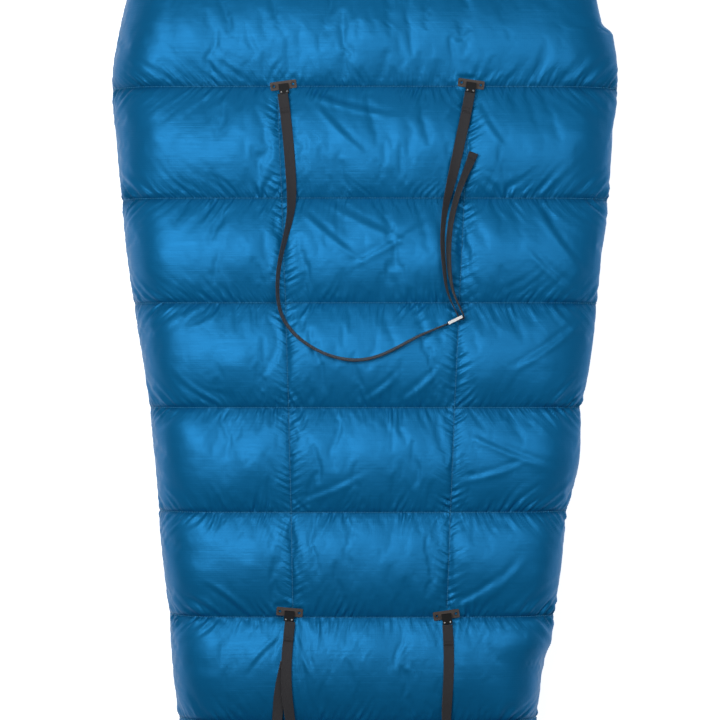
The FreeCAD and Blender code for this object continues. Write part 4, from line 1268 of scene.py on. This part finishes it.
def make_eyelets():
    """A raised ring round each sewing hole of the anchor plates, and two bright studs on each hook."""
    top = node_box("anchor_plates")[1][2]
    hook_top = node_box("strap_hooks")[1][2]
    rings, studs, ring_faces, stud_faces = [], [], [], []
    ring = [(0.0019, -0.001), (0.0019, 0.0004), (0.0026, 0.0009), (0.0033, 0.0004), (0.0035, -0.0002)]
    stud = [(0.0017, -0.0003), (0.0016, 0.0005), (0.0010, 0.0010), (0.0001, 0.0012)]

    def lathe(points, faces, centre, z, profile, steps=20):
        first = len(points)
        for radius, rise in profile:
            for a in np.linspace(0, 2 * math.pi, steps + 1)[:-1]:
                points.append((centre[0] + radius * math.cos(a), centre[1] + radius * math.sin(a),
                               z + rise))
        faces.extend(tuple(first + int(i) for i in f)
                     for f in grid_faces(len(profile), steps, around=True))

    for seam, x, from_seam, turn in ANCHORS.values():
        c, s = math.cos(math.radians(turn)), math.sin(math.radians(turn))
        y = SEAMS[seam] + from_seam
        for side in (-1, 1):
            lathe(rings, ring_faces, (x + side * 0.014 * c, y + side * 0.014 * s), top, ring)
            hx, hy = side * 0.0042, -0.0104
            lathe(studs, stud_faces, (x + hx * c - hy * s, y + hx * s + hy * c), hook_top, stud)
    piece(mesh_object("plate_eyelets", rings, ring_faces, finish(plate_finish)), "anchor_plastic")
    piece(mesh_object("hook_studs", studs, stud_faces, finish(metal_finish)), "buckle_metal")


# ---- stage -----------------------------------------------------------------------------------
def make_stage():
    scene = bpy.context.scene
    ground = Finish("floor")
    ground.set(Base_Color=(0.95, 0.95, 0.95, 1.0), Roughness=0.95)
    ground.shader.inputs["Emission Color"].default_value = (1.0, 1.0, 1.0, 1.0)
    ground.shader.inputs["Emission Strength"].default_value = 0.75
    floor = mesh_object("floor", [(-9, -9, -0.001), (9, -9, -0.001), (9, 9, -0.001), (-9, 9, -0.001)],
                        [(0, 1, 2, 3)], ground.material, smooth=False)
    world = bpy.data.worlds.new("studio")
    scene.world = world
    world.use_nodes = True
    world.node_tree.nodes["Background"].inputs[0].default_value = (1.0, 1.0, 1.0, 1.0)
    world.node_tree.nodes["Background"].inputs[1].default_value = 0.12
    lamps = [("key", (-0.55, 0.50, 1.95), (0.0, 0.15, 0.1), 0.9, 23.0),
             ("fill", (0.75, 0.36, 1.95), (0.1, 0.1, 0.1), 0.8, 9.0),
             ("head", (0.0, 3.0, 1.6), (0.0, 0.2, 0.1), 1.2, 6.0)]
    for name, place, aim, size, power in lamps:
        data = bpy.data.lights.new(name, "AREA")
        data.size = size
        data.energy = power
        lamp = bpy.data.objects.new(name, data)
        lamp.location = place
        lamp.rotation_euler = (Vector(aim) - Vector(place)).to_track_quat("-Z", "Y").to_euler()
        scene.collection.objects.link(lamp)
    camera = bpy.data.cameras.new("camera")
    camera.lens = LENS
    camera.sensor_width = SENSOR
    camera.dof.use_dof = False
    eye = bpy.data.objects.new("camera", camera)
    eye.location = (-0.003, 0.168, VIEW_WIDTH * LENS / SENSOR + EYE_OVER)
    scene.collection.objects.link(eye)
    scene.camera = eye
    scene.view_settings.view_transform = "Standard"


# ---- operators -------------------------------------------------------------------------------
class BAG_OT_stage(bpy.types.Operator):
    """Lay the floor, hang the lights and set the camera above the bag"""
    bl_idname = "bag.stage"
    bl_label = "Stage"

    def execute(self, context):
        make_stage()
        return {"FINISHED"}


class BAG_OT_back(bpy.types.Operator):
    """Sew and loft the back layer and cut it into baffles"""
    bl_idname = "bag.back"
    bl_label = "Back layer"

    def execute(self, context):
        make_back()
        return {"FINISHED"}


class BAG_OT_front(bpy.types.Operator):
    """Sew and loft the front layer, flattened on the ground"""
    bl_idname = "bag.front"
    bl_label = "Front layer"

    def execute(self, context):
        make_front()
        return {"FINISHED"}


class BAG_OT_hood(bpy.types.Operator):
    """Make the hood's padded ring round the face"""
    bl_idname = "bag.hood"
    bl_label = "Hood ring"

    def execute(self, context):
        make_hood_ring()
        return {"FINISHED"}


class BAG_OT_inside(bpy.types.Operator):
    """Make the lining, the draft collar and the draft tube"""
    bl_idname = "bag.inside"
    bl_label = "Lining, collar and draft tube"

    def execute(self, context):
        make_lining()
        make_collar_and_tube()
        make_zip_end()
        return {"FINISHED"}


class BAG_OT_thread(bpy.types.Operator):
    """Sew the visible stitches along the seams"""
    bl_idname = "bag.thread"
    bl_label = "Stitches"

    def execute(self, context):
        make_thread()
        return {"FINISHED"}


class BAG_OT_straps(bpy.types.Operator):
    """Lay the four webbing straps on the back"""
    bl_idname = "bag.straps"
    bl_label = "Straps"

    def execute(self, context):
        make_straps()
        return {"FINISHED"}


class BAG_OT_zip(bpy.types.Operator):
    """Make the turns of the zip's coil"""
    bl_idname = "bag.coil"
    bl_label = "Zip coil"

    def execute(self, context):
        make_coil()
        return {"FINISHED"}


class BAG_OT_hardware(bpy.types.Operator):
    """Finish the metal and plastic parts and add the anchors' eyelets and studs"""
    bl_idname = "bag.hardware"
    bl_label = "Hardware"

    def execute(self, context):
        make_hardware()
        make_spring()
        make_eyelets()
        return {"FINISHED"}


class BAG_PT_panel(bpy.types.Panel):
    """Sidebar panel that lists the bag's pieces"""
    bl_idname = "BAG_PT_panel"
    bl_label = "Sleeping bag"
    bl_space_type = "VIEW_3D"
    bl_region_type = "UI"
    bl_category = "Sleeping bag"

    def draw(self, context):
        for operator in OPERATORS:
            self.layout.operator(operator.bl_idname)


OPERATORS = [BAG_OT_stage, BAG_OT_back, BAG_OT_front, BAG_OT_hood, BAG_OT_inside, BAG_OT_thread,
             BAG_OT_straps, BAG_OT_zip, BAG_OT_hardware]
CLASSES = [BagSizes, BagColours, *OPERATORS, BAG_PT_panel]


def register():
    for cls in CLASSES:
        bpy.utils.register_class(cls)
    bpy.types.Scene.bag_sizes = PointerProperty(type=BagSizes)
    bpy.types.Scene.bag_colours = PointerProperty(type=BagColours)


def unregister():
    del bpy.types.Scene.bag_colours
    del bpy.types.Scene.bag_sizes
    for cls in reversed(CLASSES):
        bpy.utils.unregister_class(cls)


def main():
    register()
    for operator in OPERATORS:
        group, name = operator.bl_idname.split(".")
        getattr(getattr(bpy.ops, group), name)()


if __name__ == "__main__":
    main()
